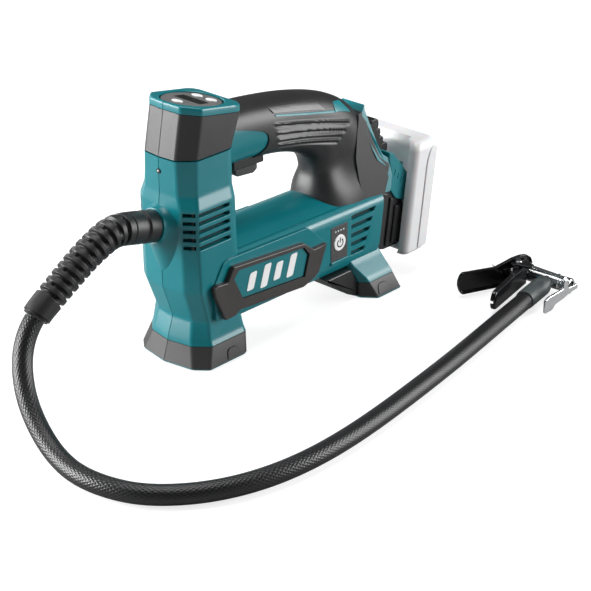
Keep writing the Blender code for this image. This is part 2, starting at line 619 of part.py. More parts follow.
piston = turned("piston", profile, (CYLINDER_X, 0, PISTON_Z[0]), (0, 0, 1), STEEL, 24)
slot_x = (ROD_X[0] - 0.5, ROD_X[1] + 0.5)
cut(piston, box("rod_slot", slot_x, (-8, 8), (PISTON_Z[0] - 2, WRIST_Z + 4.8)))
wrist_bore = [(-12, WRIST_R + GAP / 2), (12, WRIST_R + GAP / 2)]
cut(piston, turned("wrist_bore", wrist_bore, (CYLINDER_X, 0, WRIST_Z), (1, 0, 0), sides=16))
turned("wrist_pin", [(-9, WRIST_R), (9, WRIST_R)], (CYLINDER_X, 0, WRIST_Z), (1, 0, 0), STEEL, 12)
turned("piston_ring", [(0, BORE_R - 0.15), (RING_Z[1] - RING_Z[0], BORE_R - 0.15)], (CYLINDER_X, 0, RING_Z[0]),
       (0, 0, 1), BLACK, 24, PISTON_R - 1.6 + GAP)
CYLINDER_Z = (66.0, 100.0)
fins = [(0, BORE_R + 1.8)]
for fin in range(4):
    base = 8 + 6.4 * fin
    fins += [(base, BORE_R + 1.8), (base, BORE_R + 4.6), (base + 1.8, BORE_R + 4.6), (base + 1.8, BORE_R + 1.8)]
fins += [(CYLINDER_Z[1] - CYLINDER_Z[0], BORE_R + 1.8)]
turned("cylinder", fins, (CYLINDER_X, 0, CYLINDER_Z[0]), (0, 0, 1), STEEL, 20, BORE_R + 0.15)
HEAD_Z = (CYLINDER_Z[1] + GAP, CYLINDER_Z[1] + 9.0)
turned("cylinder_head", [(0, 15.0), (6, 15.0), (7.5, 9.0), (HEAD_Z[1] - HEAD_Z[0], 9.0)],
       (CYLINDER_X, 0, HEAD_Z[0]), (0, 0, 1), STEEL, 24)

# ---- gland, strain relief and the air hose
gland_face = gland_seat + out * ((GLAND_X[1] - GLAND_X[0]) / math.cos(GLAND_TILT))
gland_length = (gland_face - gland_seat).length
gland_profile = [(-9.0, SHANK_R), (GAP, SHANK_R), (GAP, GLAND_R - 1), (1.5, GLAND_R), (9.5, GLAND_R)]
gland_profile += [(10.5, GLAND_R - 1.2), (11.5, GLAND_R), (gland_length - 1.2, GLAND_R - 0.3)]
gland_profile += [(gland_length, GLAND_R - GLAND_LIP)]
turned("hose_gland", gland_profile, gland_seat, out, BLACK, 24)
RELIEF_LENGTH = 84.0
ROUTE = [
    (-33.5, 0.0, 105.0), (-39.0, 0.0, 105.0), (-50.0, 0.0, 101.6), (-60.0, 0.0, 97.0), (-69.5, 0.0, 91.6), (-83.5, 0.0, 82.9),
    (-93.0, 0.0, 76.9), (-101.6, 0.0, 70.7), (-109.6, -1.0, 62.5), (-116.9, -4.3, 51.9), (-122.8, -10.8, 40.6),
    (-127.5, -20.2, 29.7), (-131.0, -32.2, 20.0), (-133.8, -46.0, 12.6), (-135.8, -61.0, 8.2), (-136.6, -77.0, 6.9),
    (-134.2, -95.5, 6.8), (-126.6, -114.5, 6.8), (-114.0, -129.6, 6.8), (-97.5, -142.0, 6.8), (-73.9, -152.6, 6.8),
    (-42.0, -159.2, 6.8), (-7.5, -160.3, 6.8), (30.0, -157.6, 6.8), (72.9, -152.2, 6.8), (118.5, -145.4, 6.8),
    (171.5, -136.1, 6.8), (203.9, -130.3, 6.8), (222.1, -127.1, 6.8),
]


def smooth_path(points):
    """Fine steps on the natural cubic spline through the points by their chord lengths, and the length to each."""
    points = np.array(points, float)
    along = np.concatenate([[0], np.cumsum(np.linalg.norm(np.diff(points, axis=0), axis=1))])
    gaps = np.diff(along)
    size = len(points)
    matrix = np.eye(size)
    right = np.zeros_like(points)
    slopes = np.diff(points, axis=0) / gaps[:, None]
    for i in range(1, size - 1):
        matrix[i, i - 1:i + 2] = gaps[i - 1], 2 * (gaps[i - 1] + gaps[i]), gaps[i]
        right[i] = 6 * (slopes[i] - slopes[i - 1])
    bend = np.linalg.solve(matrix, right)
    fine = np.linspace(0, along[-1], 2000)
    k = np.clip(np.searchsorted(along, fine, side="right") - 1, 0, size - 2)
    h, a, b = gaps[k, None], (along[k + 1] - fine)[:, None], (fine - along[k])[:, None]
    curve = (bend[k] * a**3 + bend[k + 1] * b**3) / (6 * h)
    curve += (points[k] / h - bend[k] * h / 6) * a + (points[k + 1] / h - bend[k + 1] * h / 6) * b
    reach = np.concatenate([[0], np.cumsum(np.linalg.norm(np.diff(curve, axis=0), axis=1))])
    return curve, reach


def stations(path, distances):
    """Points at the given distances along a smooth path."""
    curve, reach = path
    return np.stack([np.interp(distances, reach, curve[:, i]) for i in range(3)], 1)


def sleeve(name, path, radii, finish, sides=16):
    """A round section of changing radius carried along a path that lies in an upright plane."""
    rings = []
    for n, centre in enumerate(path):
        ahead = Vector(path[min(n + 1, len(path) - 1)]) - Vector(path[max(n - 1, 0)])
        side = Vector((0, 1, 0))
        up = ahead.normalized().cross(side)
        turns = [2 * math.pi * i / sides for i in range(sides)]
        rings.append([Vector(centre) + radii[n] * (side * math.cos(t) + up * math.sin(t)) for t in turns])
    return loft(name, rings, finish)


relief_start = gland_face + out * 2 * GAP
RIBS = 12
RELIEF_RINGS = 2 * RIBS + 6
route = smooth_path([tuple(relief_start)] + ROUTE)
relief_path = stations(route, np.linspace(0, RELIEF_LENGTH, RELIEF_RINGS))
radii = [10.4 - 0.05 * n - (1.6 if n % 2 and n < 2 * RIBS else 0.0) for n in range(RELIEF_RINGS)]
sleeve("strain_relief", relief_path, radii, BLACK, 14)
hose_start = RELIEF_LENGTH + 4 * GAP
LEAD = 2.5
hose_path = stations(route, np.append(hose_start, np.linspace(hose_start + LEAD, route[1][-1], 28)))


def tube(name, path, diameter, finish):
    curve = bpy.data.curves.new(name, "CURVE")
    curve.dimensions = "3D"
    curve.bevel_depth = diameter / 2 * MM
    curve.bevel_resolution = 3
    curve.use_fill_caps = True
    line = curve.splines.new("POLY")
    line.points.add(len(path) - 1)
    for point, place in zip(line.points, path):
        point.co = (*(np.array(place) * MM), 1)
    made = bpy.data.objects.new(name, curve)
    made.parent = root
    curve.materials.append(material(name, finish))
    bpy.context.scene.collection.objects.link(made)
    return made


tube("air_hose", hose_path, HOSE_D, BLACK)

# ---- crimped ferrule and the clip-on chuck
hose_end = Vector(hose_path[-1])
hose_way = (hose_end - Vector(hose_path[-2])).normalized()
hose_way.z = 0
FERRULE_LENGTH = 30.0
FERRULE_R = 7.0
ferrule_at = hose_end + hose_way * GAP + Vector((0, 0, FERRULE_R + 0.2 - hose_end.z))
turned("hose_ferrule", [(0, FERRULE_R), (FERRULE_LENGTH - 2, FERRULE_R), (FERRULE_LENGTH, FERRULE_R - 1.5)],
       ferrule_at, hose_way, GREY, 20)
stem_at = ferrule_at + hose_way * (FERRULE_LENGTH + GAP)
BARREL_R = 5.0
nose_way = Vector((0.085, -1.0, 0)).normalized()
barrel_mid = stem_at + hose_way * 9.0
chuck = turned("chuck_body", [(-19.5, BARREL_R - 0.8), (-18.7, BARREL_R), (12.0, BARREL_R), (12.6, BARREL_R + 0.6),
                              (17.0, BARREL_R + 0.6), (18.0, BARREL_R - 0.4)], barrel_mid, nose_way, CHROME, 24)
fuse(chuck, turned("hose_stem", [(0, 4.4), (7, 4.4)], stem_at, hose_way, sides=16))
MOUTH_R = 3.9
cut(chuck, turned("chuck_mouth", [(6.0, MOUTH_R), (20.0, MOUTH_R)], barrel_mid, nose_way, sides=16))

PIN_AT = barrel_mid + Vector((-11.5, 19.1, 0))
PIN_RADIUS = 1.5
KNUCKLE_R = 4.2
LEVER_THICK = 1.8


def ribbon(name, plan, low, high, finish, origin):
    """A strip standing on edge along a plan line; low and high give its lower and upper edge at each point."""
    rings = []
    for n, (x, y) in enumerate(plan):
        before, after = plan[max(n - 1, 0)], plan[min(n + 1, len(plan) - 1)]
        way = Vector((after[0] - before[0], after[1] - before[1])).normalized()
        far = (x - way.y * LEVER_THICK, y + way.x * LEVER_THICK)
        rings.append([(x, y, low[n]), (*far, low[n]), (*far, high[n]), (x, y, high[n])])
    return loft(name, rings, finish, origin=origin)


def knuckle(name, low, high, radius):
    return turned(name, [(0, radius), (high - low, radius)], (PIN_AT.x, PIN_AT.y, low), (0, 0, 1), sides=14)


def at_pin(x, y):
    return (PIN_AT.x + x, PIN_AT.y + y)


pin_place = (PIN_AT.x, PIN_AT.y, 10.0)
handle_plan = [at_pin(-40.5, 20.6), at_pin(-36, 18.6), at_pin(3.5, 2.4), at_pin(16, 2.4)]
chuck_handle = ribbon("chuck_handle", handle_plan, [5.0, 2.5, 1.5, 2.5], [15.5, 17.0, 17.8, 13.0], BLACK, pin_place)
lever_plan = [at_pin(-46.5, -15.2), at_pin(-42, -14.2), at_pin(3.1, -4.0)]
chuck_lever = ribbon("chuck_lever", lever_plan, [5.0, 2.5, 1.5], [14.0, 15.5, 17.8], BLACK, pin_place)
for obj, word, hub, room in (
    (chuck_handle, "handle", (1.5, 7.5), (7.8, 25)),
    (chuck_lever, "lever", (14.0, 17.8), (-5, 13.7)),
):
    cut(obj, knuckle(f"{word}_room", *room, KNUCKLE_R + GAP))
    fuse(obj, knuckle(f"{word}_hub", *hub, KNUCKLE_R))
    cut(obj, knuckle(f"{word}_bore", -6, 26, PIN_RADIUS + GAP))
turned("chuck_pin", [(0, PIN_RADIUS), (18.8, PIN_RADIUS)], (PIN_AT.x, PIN_AT.y, 1.2), (0, 0, 1), STEEL, 12)
coil("chuck_spring", (PIN_AT.x, PIN_AT.y, 8.3), 2.6, 0.8, 4, 5.0, STEEL)
JAW_Z = (18.1, 19.7)
jaw_far = barrel_mid.y - 20.9
jaw_outline = [at_pin(-4.5, 3.6), at_pin(-5.2, jaw_far - PIN_AT.y), at_pin(5.2, jaw_far - PIN_AT.y), at_pin(4.5, 3.6)]
chuck_jaw = loft("chuck_jaw", [[(x, y, z) for x, y in jaw_outline] for z in JAW_Z], CHROME, origin=pin_place)
front = box("jaw_front", (PIN_AT.x - 24, PIN_AT.x + 17), (jaw_far - 1.6, jaw_far + 0.4), (3.0, JAW_Z[1] - 0.01))
fuse(chuck_jaw, front)
valve_x = barrel_mid.x + 1.7
cut(chuck_jaw, box("valve_notch", (valve_x - 4.4, valve_x + 12), (jaw_far - 5, jaw_far + 5), (-1, 12.4)))
cut(chuck_jaw, knuckle("jaw_bore", -6, 26, PIN_RADIUS + GAP))

# ---- battery rail, terminals and the battery pack
shoe_z = (REAR_FLARE[2][0] + GAP + 0.5, SHOULDER[0][1] + 0.6)
shoe_x = (185.3, 206.0)
SHOE = [
    (raked(shoe_x[0], shoe_z[0]), shoe_z[0]), (raked(shoe_x[1], shoe_z[0]), shoe_z[0]),
    (SHOULDER[6][0] - 0.4, SHOULDER[6][1] - 0.6), (SHOULDER[7][0] - 0.3, SHOULDER[7][1] - 0.6),
    (raked(shoe_x[0], shoe_z[1]), shoe_z[1]),
]
slab("battery_rail", SHOE, SHOE_HALF, BLACK)
TERMINALS = [(192.5, 100.8), (203.3, 91.9), (205.5, 93.5), (204, 112), (196, 119), (190.0, 118.5), (189.0, 112.8)]
slab("terminal_block", TERMINALS, 13, BLACK)


def pack_rings(outline, heights):
    return [[(raked(x, z), y, z) for x, y in outline] for z in heights]


PACK_ROUND = 5.0
LIP_Y = SHOE_HALF + 0.5
right_side = [(PACK_X[0], LIP_Y), (PACK_LIP_X, LIP_Y), (PACK_LIP_X, PACK_HALF - 2.5), (PACK_LIP_X + 2.5, PACK_HALF)]
right_side += [(PACK_X[1] - PACK_ROUND, PACK_HALF), (PACK_X[1], PACK_HALF - PACK_ROUND)]
pack_outline = [(x, -y) for x, y in right_side] + [(x, y) for x, y in right_side[::-1]]
case = loft("battery_case", pack_rings(pack_outline, PACK_Z), PACK)
inner_x = (PACK_X[0] + WALL, PACK_X[1] - WALL)
inner_y = PACK_HALF - WALL - 2
inner = [(inner_x[0], -inner_y), (inner_x[1], -inner_y), (inner_x[1], inner_y), (inner_x[0], inner_y)]
cut(case, loft("case_hollow", pack_rings(inner, (PACK_Z[0] - 2, PACK_Z[1] - WALL))))
LATCH_Z = (83.0, 92.0)
LATCH_HALF = 9.0


def latch_block(name, grow, reach, finish=None):
    x = (PACK_X[1] - 5.0, PACK_X[1] + reach)
    half = LATCH_HALF + grow
    outline = [(x[0], -half), (x[1], -half), (x[1], half), (x[0], half)]
    return loft(name, pack_rings(outline, (LATCH_Z[0] - grow, LATCH_Z[1] + grow)), finish)


cut(case, latch_block("latch_hole", GAP, 4.0))
latch_block("battery_latch", 0.0, -0.2, GREY)
lid = [(x + (GAP if x < 220 else -GAP), y - math.copysign(GAP, y)) for x, y in inner]
loft("battery_base", pack_rings(lid, (PACK_Z[0], PACK_Z[0] + WALL)), PACK)
CELL_R = 7.2
CELL_LENGTH = 60.0
cell_x = raked((inner_x[0] + inner_x[1]) / 2 - 1.2, 20)
cells = None
for n, word in enumerate(("battery_cells", "cell_left", "cell_right")):
    place = (cell_x, (0, 1, -1)[n] * (2 * CELL_R - 0.4), PACK_Z[0] + WALL + 3)
    cell = turned(word, [(0, CELL_R), (CELL_LENGTH, CELL_R)], place, (RAKE, 0, 1), None if cells else STEEL, 14)
    if cells:
        fuse(cells, cell)
    cells = cells or cell

outlet = [(24, 0, 109.6), (24, 0, 114), (19, 0, 118.3), (11.5, 0, 118), (7.2, 0, 112.5), (6.3, 0, 106), (6.0, 0, 100.6)]
outlet_path = smooth_path(outlet)
tube("outlet_tube", stations(outlet_path, np.linspace(0, outlet_path[1][-1], 12)), 3.0, WHITE)
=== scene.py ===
"""Cordless air inflator: the surfaces, finishes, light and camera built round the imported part.

Lengths are in millimetres in the maker's frame, x back from the front ridge of the foot, and
skin() moves them into the row frame."""

import json
import math

import bmesh
import bpy
import numpy as np
from mathutils import Matrix, Vector


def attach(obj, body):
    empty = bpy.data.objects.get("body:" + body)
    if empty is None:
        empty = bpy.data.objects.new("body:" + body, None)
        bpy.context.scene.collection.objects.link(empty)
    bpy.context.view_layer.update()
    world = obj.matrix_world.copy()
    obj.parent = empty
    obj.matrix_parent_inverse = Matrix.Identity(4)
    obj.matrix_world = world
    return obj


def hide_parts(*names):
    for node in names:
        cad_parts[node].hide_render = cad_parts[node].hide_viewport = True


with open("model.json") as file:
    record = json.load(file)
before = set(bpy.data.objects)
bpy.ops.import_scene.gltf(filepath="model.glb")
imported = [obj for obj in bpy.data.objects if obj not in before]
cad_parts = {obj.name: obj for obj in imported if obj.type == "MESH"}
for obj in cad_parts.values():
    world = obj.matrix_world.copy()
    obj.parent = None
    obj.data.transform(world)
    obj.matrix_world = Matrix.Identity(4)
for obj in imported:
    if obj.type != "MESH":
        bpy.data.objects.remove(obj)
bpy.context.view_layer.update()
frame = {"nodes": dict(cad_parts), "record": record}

# ---- The studio: a pale floor, soft boxes at both sides, overhead and behind, and the camera.
# The camera stands off the machine's front right corner, a little above it.
VIEW_TURN = math.radians(47.1166)
VIEW_RISE = math.radians(26.0204)
VIEW_DISTANCE = 1.239295
VIEW_TARGET = Vector((0.020016, 0.0, 0.002922))
back = Vector((
    -math.sin(VIEW_TURN) * math.cos(VIEW_RISE), -math.cos(VIEW_TURN) * math.cos(VIEW_RISE),
               math.sin(VIEW_RISE)
))
lens = bpy.data.cameras.new("camera")
lens.lens = 107.72
lens.clip_end = 50
camera = bpy.data.objects.new("camera", lens)
camera.location = VIEW_TARGET + back * VIEW_DISTANCE
camera.rotation_euler = back.to_track_quat("Z", "Y").to_euler()
bpy.context.scene.collection.objects.link(camera)
bpy.context.scene.camera = camera
bpy.context.scene.view_settings.view_transform = "Standard"
bpy.context.scene.view_settings.look = "None"

# place, width, height and power of each soft box, all white and aimed at the machine
AIM = Vector((0.02, -0.02, 0.08))
SOFT_BOXES = {
    "left_box": ((-1.3, 1.1, 0.5), 0.9, 1.0, 58.0),
    "right_box": ((1.2, -1.25, 0.5), 1.0, 1.0, 36.0),
    "top_box": ((0.0, 0.1, 1.6), 1.0, 1.0, 16.0),
    "back_box": ((0.2, 1.5, 0.7), 1.0, 0.8, 8.0),
}
for name, (place, width, height, power) in SOFT_BOXES.items():
    lamp = bpy.data.lights.new(name, "AREA")
    lamp.shape = "RECTANGLE"
    lamp.size, lamp.size_y, lamp.energy = width, height, power
    box = bpy.data.objects.new(name, lamp)
    box.location = place
    box.rotation_euler = (Vector(place) - AIM).to_track_quat("Z", "Y").to_euler()
    bpy.context.scene.collection.objects.link(box)

world = bpy.data.worlds.new("world")
world.use_nodes = True
world.node_tree.nodes["Background"].inputs["Color"].default_value = (1.0, 1.0, 1.0, 1)
world.node_tree.nodes["Background"].inputs["Strength"].default_value = 0.09
bpy.context.scene.world = world

FLOOR_HALF = 6.0
FLOOR_DROP = 0.0004
FLOOR_GLOW = 1.9


def feed(tree, made, sockets):
    """Gives each named socket its value, or links it to the output that feeds it."""
    for name, value in sockets.items():
        if isinstance(value, bpy.types.NodeSocket):
            tree.links.new(value, made.inputs[name])
        else:
            made.inputs[name].default_value = value


def node(tree, kind, sockets=(), **settings):
    """A new shader node with its settings made and its sockets fed."""
    made = tree.nodes.new("ShaderNode" + kind)
    for name, value in settings.items():
        setattr(made, name, value)
    feed(tree, made, dict(sockets))
    return made


def ramp(tree, amount, *stops):
    """A colour ramp's output: two stops, each a place from 0 to 1 and a colour."""
    made = node(tree, "ValToRGB", {"Fac": amount})
    for stop, (place, colour) in zip(made.color_ramp.elements, stops):
        stop.position = place
        stop.color = (*colour, 1)
    return made.outputs["Color"]


def shades(name, colour, rough, metal=0.0, mottle=0.05, grain=0.12, grain_scale=1900.0, speck=0.0,
           glow=0.0):
    """A finish from two noises on Object coordinates: a broad one that shifts colour and roughness a little,
    and a fine one that raises a grain and, where speck is over 0, scatters lighter specks."""
    made = bpy.data.materials.new(name)
    made.use_nodes = True
    tree = made.node_tree
    place = node(tree, "TexCoord").outputs["Object"]
    broad = node(tree, "TexNoise", {"Scale": 38.0, "Detail": 4.0, "Vector": place}).outputs["Fac"]
    fine = node(tree, "TexNoise", {"Scale": grain_scale, "Detail": 3.0, "Vector": place}).outputs["Fac"]
    tone = ramp(tree, broad, (0.3, [max(c * (1 - mottle), 0) for c in colour]),
                (0.7, [min(c * (1 + mottle) + 0.002, 1) for c in colour]))
    if speck:
        scatter = ramp(tree, fine, (0.56, (0, 0, 0)), (0.66, (speck, speck, speck)))
        lift = node(tree, "Mix", {}, data_type="RGBA", blend_type="ADD")
        feed(tree, lift, {"Factor": 1.0, "A": tone, "B": scatter})
        tone = lift.outputs["Result"]
    gloss = node(tree, "MapRange", {"Value": broad, "To Min": max(rough - 0.05, 0.02),
                                    "To Max": min(rough + 0.05, 1.0)})
    bump = node(tree, "Bump", {"Strength": grain, "Distance": 0.0004, "Height": fine})
    shader = tree.nodes["Principled BSDF"]
    feed(tree, shader, {"Base Color": tone, "Roughness": gloss.outputs["Result"],
                        "Normal": bump.outputs["Normal"],
                        "Metallic": metal})
    if glow:
        feed(tree, shader, {"Emission Color": (*colour, 1), "Emission Strength": glow})
    return made


floor_mesh = bpy.data.meshes.new("floor")
corners = [(-1, -1), (1, -1), (1, 1), (-1, 1)]
floor_mesh.from_pydata([(x * FLOOR_HALF, y * FLOOR_HALF, -FLOOR_DROP) for x, y in corners], [],
                       [(0, 1, 2, 3)])
floor_white = shades("studio_floor", (0.4, 0.4, 0.4), 0.9, mottle=0.0, grain=0.0, glow=1.0)
# The floor looks white from the camera, and throws less light on the machine than a white floor would.
tree = floor_white.node_tree
seen = node(tree, "LightPath").outputs["Is Camera Ray"]
share = node(tree, "Math", {0: seen, 1: FLOOR_GLOW}, operation="MULTIPLY")
feed(tree, tree.nodes["Principled BSDF"], {"Emission Strength": share.outputs[0]})
# The air over the floor's far edge looks as pale as the floor, and lights the machine no more than before.
tree = world.node_tree
seen = node(tree, "LightPath").outputs["Is Camera Ray"]
haze = node(tree, "Math", {0: seen, 1: 0.9, 2: 0.09}, operation="MULTIPLY_ADD")
feed(tree, tree.nodes["Background"], {"Strength": haze.outputs[0]})
floor_mesh.materials.append(floor_white)
floor = bpy.data.objects.new("floor", floor_mesh)
bpy.context.scene.collection.objects.link(floor)

# ---- The air hose: rubber under a woven black cover, laid on the floor in one long loop.
# It is a round tube carried along the same smooth route as the part's own hose.
MID = 106.706
WALL_SHARP = math.radians(38)
HOSE_D = 12.6
RELIEF_LENGTH = 84.0
HOSE_LEAD = 1.2
GLAND_TILT = math.radians(13)
GLAND_SEAT = np.array([-6.0, 0.0, 99.0])
GLAND_REACH = 21.0 / math.cos(GLAND_TILT)
out = np.array([-math.cos(GLAND_TILT), 0, math.sin(GLAND_TILT)])
ROUTE = [
    (-33.5, 0.0, 105.0), (-39.0, 0.0, 105.0), (-50.0, 0.0, 101.6), (-60.0, 0.0, 97.0), (-69.5, 0.0, 91.6),
    (-83.5, 0.0, 82.9), (-93.0, 0.0, 76.9), (-101.6, 0.0, 70.7), (-109.6, -1.0, 62.5), (-116.9, -4.3, 51.9),
    (-122.8, -10.8, 40.6), (-127.5, -20.2, 29.7), (-131.0, -32.2, 20.0), (-133.8, -46.0, 12.6),
         (-135.8, -61.0, 8.2),
    (-136.6, -77.0, 6.9), (-134.2, -95.5, 6.8), (-126.6, -114.5, 6.8), (-114.0, -129.6, 6.8),
         (-97.5, -142.0, 6.8),
    (-73.9, -152.6, 6.8), (-42.0, -159.2, 6.8), (-7.5, -160.3, 6.8), (30.0, -157.6, 6.8), (72.9, -152.2, 6.8),
    (118.5, -145.4, 6.8), (171.5, -136.1, 6.8), (203.9, -130.3, 6.8), (222.1, -127.1, 6.8),
]


def smooth_path(points, count=2000):
    """The natural cubic spline through the points by their chord lengths, and the length run at each step."""
    points = np.array(points, float)
    along = np.concatenate([[0], np.cumsum(np.linalg.norm(np.diff(points, axis=0), axis=1))])
    gaps = np.diff(along)
    size = len(points)
    matrix = np.eye(size)
    right = np.zeros_like(points)
    slopes = np.diff(points, axis=0) / gaps[:, None]
    for i in range(1, size - 1):
        matrix[i, i - 1:i + 2] = gaps[i - 1], 2 * (gaps[i - 1] + gaps[i]), gaps[i]
        right[i] = 6 * (slopes[i] - slopes[i - 1])
    bend = np.linalg.solve(matrix, right)
    fine = np.linspace(0, along[-1], count)
    k = np.clip(np.searchsorted(along, fine, side="right") - 1, 0, size - 2)
    h, a, b = gaps[k, None], (along[k + 1] - fine)[:, None], (fine - along[k])[:, None]
    curve = (bend[k] * a**3 + bend[k + 1] * b**3) / (6 * h)
    curve += (points[k] / h - bend[k] * h / 6) * a + (points[k + 1] / h - bend[k + 1] * h / 6) * b
    return curve, np.concatenate([[0], np.cumsum(np.linalg.norm(np.diff(curve, axis=0), axis=1))])


def stations(path, distances):
    """Points at the given distances along a smooth path."""
    curve, reach = path
    return np.stack([np.interp(distances, reach, curve[:, i]) for i in range(3)], 1)


def to_row(points):
    """Points in the row frame, in metres."""
    return (np.asarray(points) - (MID, 0, 0)) * 0.001


def skin(name, rows, finish, body="machine", ring=False, lengths=None, **more):
    """A closed mesh through rows of points, each row closed on itself: ring joins the last row to the first,
    and
    otherwise each end row is filled. lengths gives each row's distance along, which goes into the UV map."""
    rows = np.asarray(rows, float)
    n, m = rows.shape[:2]
    r = np.arange(n if ring else n - 1)[:, None]
    c = np.arange(m)[None, :]
    quads = np.stack([r * m + c, r * m + (c + 1) % m, (r + 1) % n * m + (c + 1) % m, (r + 1) % n * m + c], -1)
    faces = quads.reshape(-1, 4).tolist()
    if not ring:
        faces += [list(range(m))[::-1], list(range((n - 1) * m, n * m))]
    mesh = bpy.data.meshes.new(name)
    mesh.from_pydata(to_row(rows.reshape(-1, 3)).tolist(), [], faces)
    if lengths is not None:
        u = np.broadcast_to(np.stack([c, c + 1, c + 1, c], -1) / m, (n - 1, m, 4))
        v = np.array(lengths)[np.stack([r, r, r + 1, r + 1], -1)] * np.ones((1, m, 1))
        pairs = np.stack([u, v], -1).reshape(-1, 2)
        pairs = np.concatenate([pairs, np.zeros((len(mesh.loops) - len(pairs), 2))])
        mesh.uv_layers.new(name="along").data.foreach_set("uv", pairs.ravel())
    check = bmesh.new()
    check.from_mesh(mesh)
    if check.calc_volume(signed=True) < 0:
        bmesh.ops.reverse_faces(check, faces=check.faces)
    check.to_mesh(mesh)
    check.free()
    return fit(name, mesh, finish, body, **more)


def crisp(mesh):
    """Shades a mesh smooth between its sharp edges."""
    mesh.shade_smooth()
    mesh.set_sharp_from_angle(angle=WALL_SHARP)


def fit(name, mesh, finish, body, stands_for=(), flat=True, slot=None):
    """Puts a mesh on its body with its finish; flat keeps broad faces flat beside their eased edges."""
    crisp(mesh)
    piece = bpy.data.objects.new(name, mesh)
    bpy.context.scene.collection.objects.link(piece)
    if flat:
        piece.modifiers.new("flat_faces", "WEIGHTED_NORMAL").keep_sharp = True
    if body:
        mesh.materials.append(finish)
        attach(piece, body)
    if stands_for:
        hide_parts(*stands_for)
    return piece


def round_rows(path, radii, sides, bumps=None):
    """Rings of the given radii round a path: the ring's own axes are the level direction across the path and
    the
    one square to both. bumps adds to each point's radius."""
    path = np.asarray(path, float)
    way = np.gradient(path, axis=0)
    way /= np.linalg.norm(way, axis=1)[:, None]
    side = np.cross(way, (0, 0, 1.0))
    side /= np.linalg.norm(side, axis=1)[:, None]
    up = np.cross(side, way)
    t = np.linspace(0, 2 * np.pi, sides, endpoint=False)
    reach = np.broadcast_to(np.asarray(radii, float)[:, None],
                            (len(path), sides)) + (0 if bumps is None else bumps)
    ring = side[:, None] * np.cos(t)[None, :, None] + up[:, None] * np.sin(t)[None, :, None]
    return path[:, None] + reach[..., None] * ring


YARNS = 20
YARN_PITCH = 3.4


def woven_cover():
    """Black yarn: two sets of strands wind round the hose in opposite senses, each a wave in (turn,
    distance).
    Where one set's wave is high its strand lies on top. The waves raise the strands, and darken the gaps
    between them as painted shade."""
    made = shades("woven_cover", (0.012, 0.012, 0.013), 0.34, mottle=0.2, grain=0.1)
    tree = made.node_tree
    split = node(tree, "SeparateXYZ", {"Vector": node(tree, "UVMap", uv_map="along").outputs["UV"]})
    waves = []
    for sense in (1, -1):
        turn = node(tree, "Math", {0: split.outputs["X"], 1: 2 * math.pi * YARNS * sense},
                    operation="MULTIPLY")
        step = node(tree, "Math", {0: split.outputs["Y"], 1: 2 * math.pi / YARN_PITCH, 2: turn.outputs[0]},
                    operation="MULTIPLY_ADD")
        waves.append(node(tree, "Math", {0: step.outputs[0]}, operation="SINE").outputs[0])
    cross = node(tree, "Math", dict(enumerate(waves)), operation="MAXIMUM").outputs[0]
    # Colour darker where neither strand lies on top: painted shade in the gaps.
    tone = ramp(tree, cross, (0.1, (0.002, 0.002, 0.002)), (0.95, (0.014, 0.0145, 0.0155)))
    bump = node(tree, "Bump", {"Strength": 0.35, "Distance": 0.00025, "Height": cross})
    feed(tree, tree.nodes["Principled BSDF"], {"Base Color": tone, "Normal": bump.outputs["Normal"]})
    return made


gland_face = GLAND_SEAT + out * GLAND_REACH
route = smooth_path([tuple(gland_face + out * 0.6)] + ROUTE)
HOSE_RINGS = 420
hose_run = np.linspace(RELIEF_LENGTH + HOSE_LEAD, route[1][-1], HOSE_RINGS)
hose_line = stations(route, hose_run)
hose_cover = woven_cover()
hose = skin("woven_hose", round_rows(hose_line, np.full(HOSE_RINGS, HOSE_D / 2), 48), hose_cover,
            lengths=hose_run,
            stands_for=("air_hose",), flat=False)

# ---- The strain relief and gland: black rubber moulded with twelve ribs whose slits take turns round it.
# It grows out of a two-ringed gland nut that screws into the boss on the tower's front.
RIBS = 12
RIB_STEP = 5.75
RIB_DEEP = 2.3
black_rubber = shades("black_rubber", (0.009, 0.009, 0.0095), 0.45, mottle=0.15, grain=0.16,
                      grain_scale=1500)
run = np.linspace(0, RELIEF_LENGTH, 520)
phase = run / RIB_STEP
slit = 1 / (1 + np.exp(-(np.cos(2 * np.pi * phase) - 0.25) * 9)) * (run > 1.5) * (phase < RIBS + 0.3)
turn = np.linspace(0, 2 * np.pi, 72, endpoint=False)
bridge = np.cos(turn[None, :] * 2 + np.pi * np.round(phase)[:, None])
bridge = 1 / (1 + np.exp(-(bridge - 0.86) * 30))
relief_base = 10.5 - 1.5 * run / RELIEF_LENGTH - 0.9 * (run > RELIEF_LENGTH - 1.2)
relief_rows = round_rows(stations(route, run), relief_base, 72,
                         -RIB_DEEP * slit[:, None] * (1 - 0.75 * bridge))
relief = skin("ribbed_relief", relief_rows, black_rubber, stands_for=("strain_relief",), flat=False)


def turned(name, profile, at, along, finish, sides=64, **more):
    """A profile of (distance along, radius) turned round the axis through at."""
    profile = np.array(profile, float)
    axis = np.array(along, float) / np.linalg.norm(along)
    across = np.cross(axis, (0, 0, 1.0) if abs(axis[2]) < 0.9 else (0, 1.0, 0))
    across /= np.linalg.norm(across)
    other = np.cross(axis, across)
    t = np.linspace(0, 2 * np.pi, sides, endpoint=False)
    ring_way = across[None] * np.cos(t)[:, None] + other[None] * np.sin(t)[:, None]
    rows = np.array(at, float) + profile[:, :1, None] * axis + profile[:, 1:, None] * ring_way[None]
    return skin(name, rows, finish, **more)


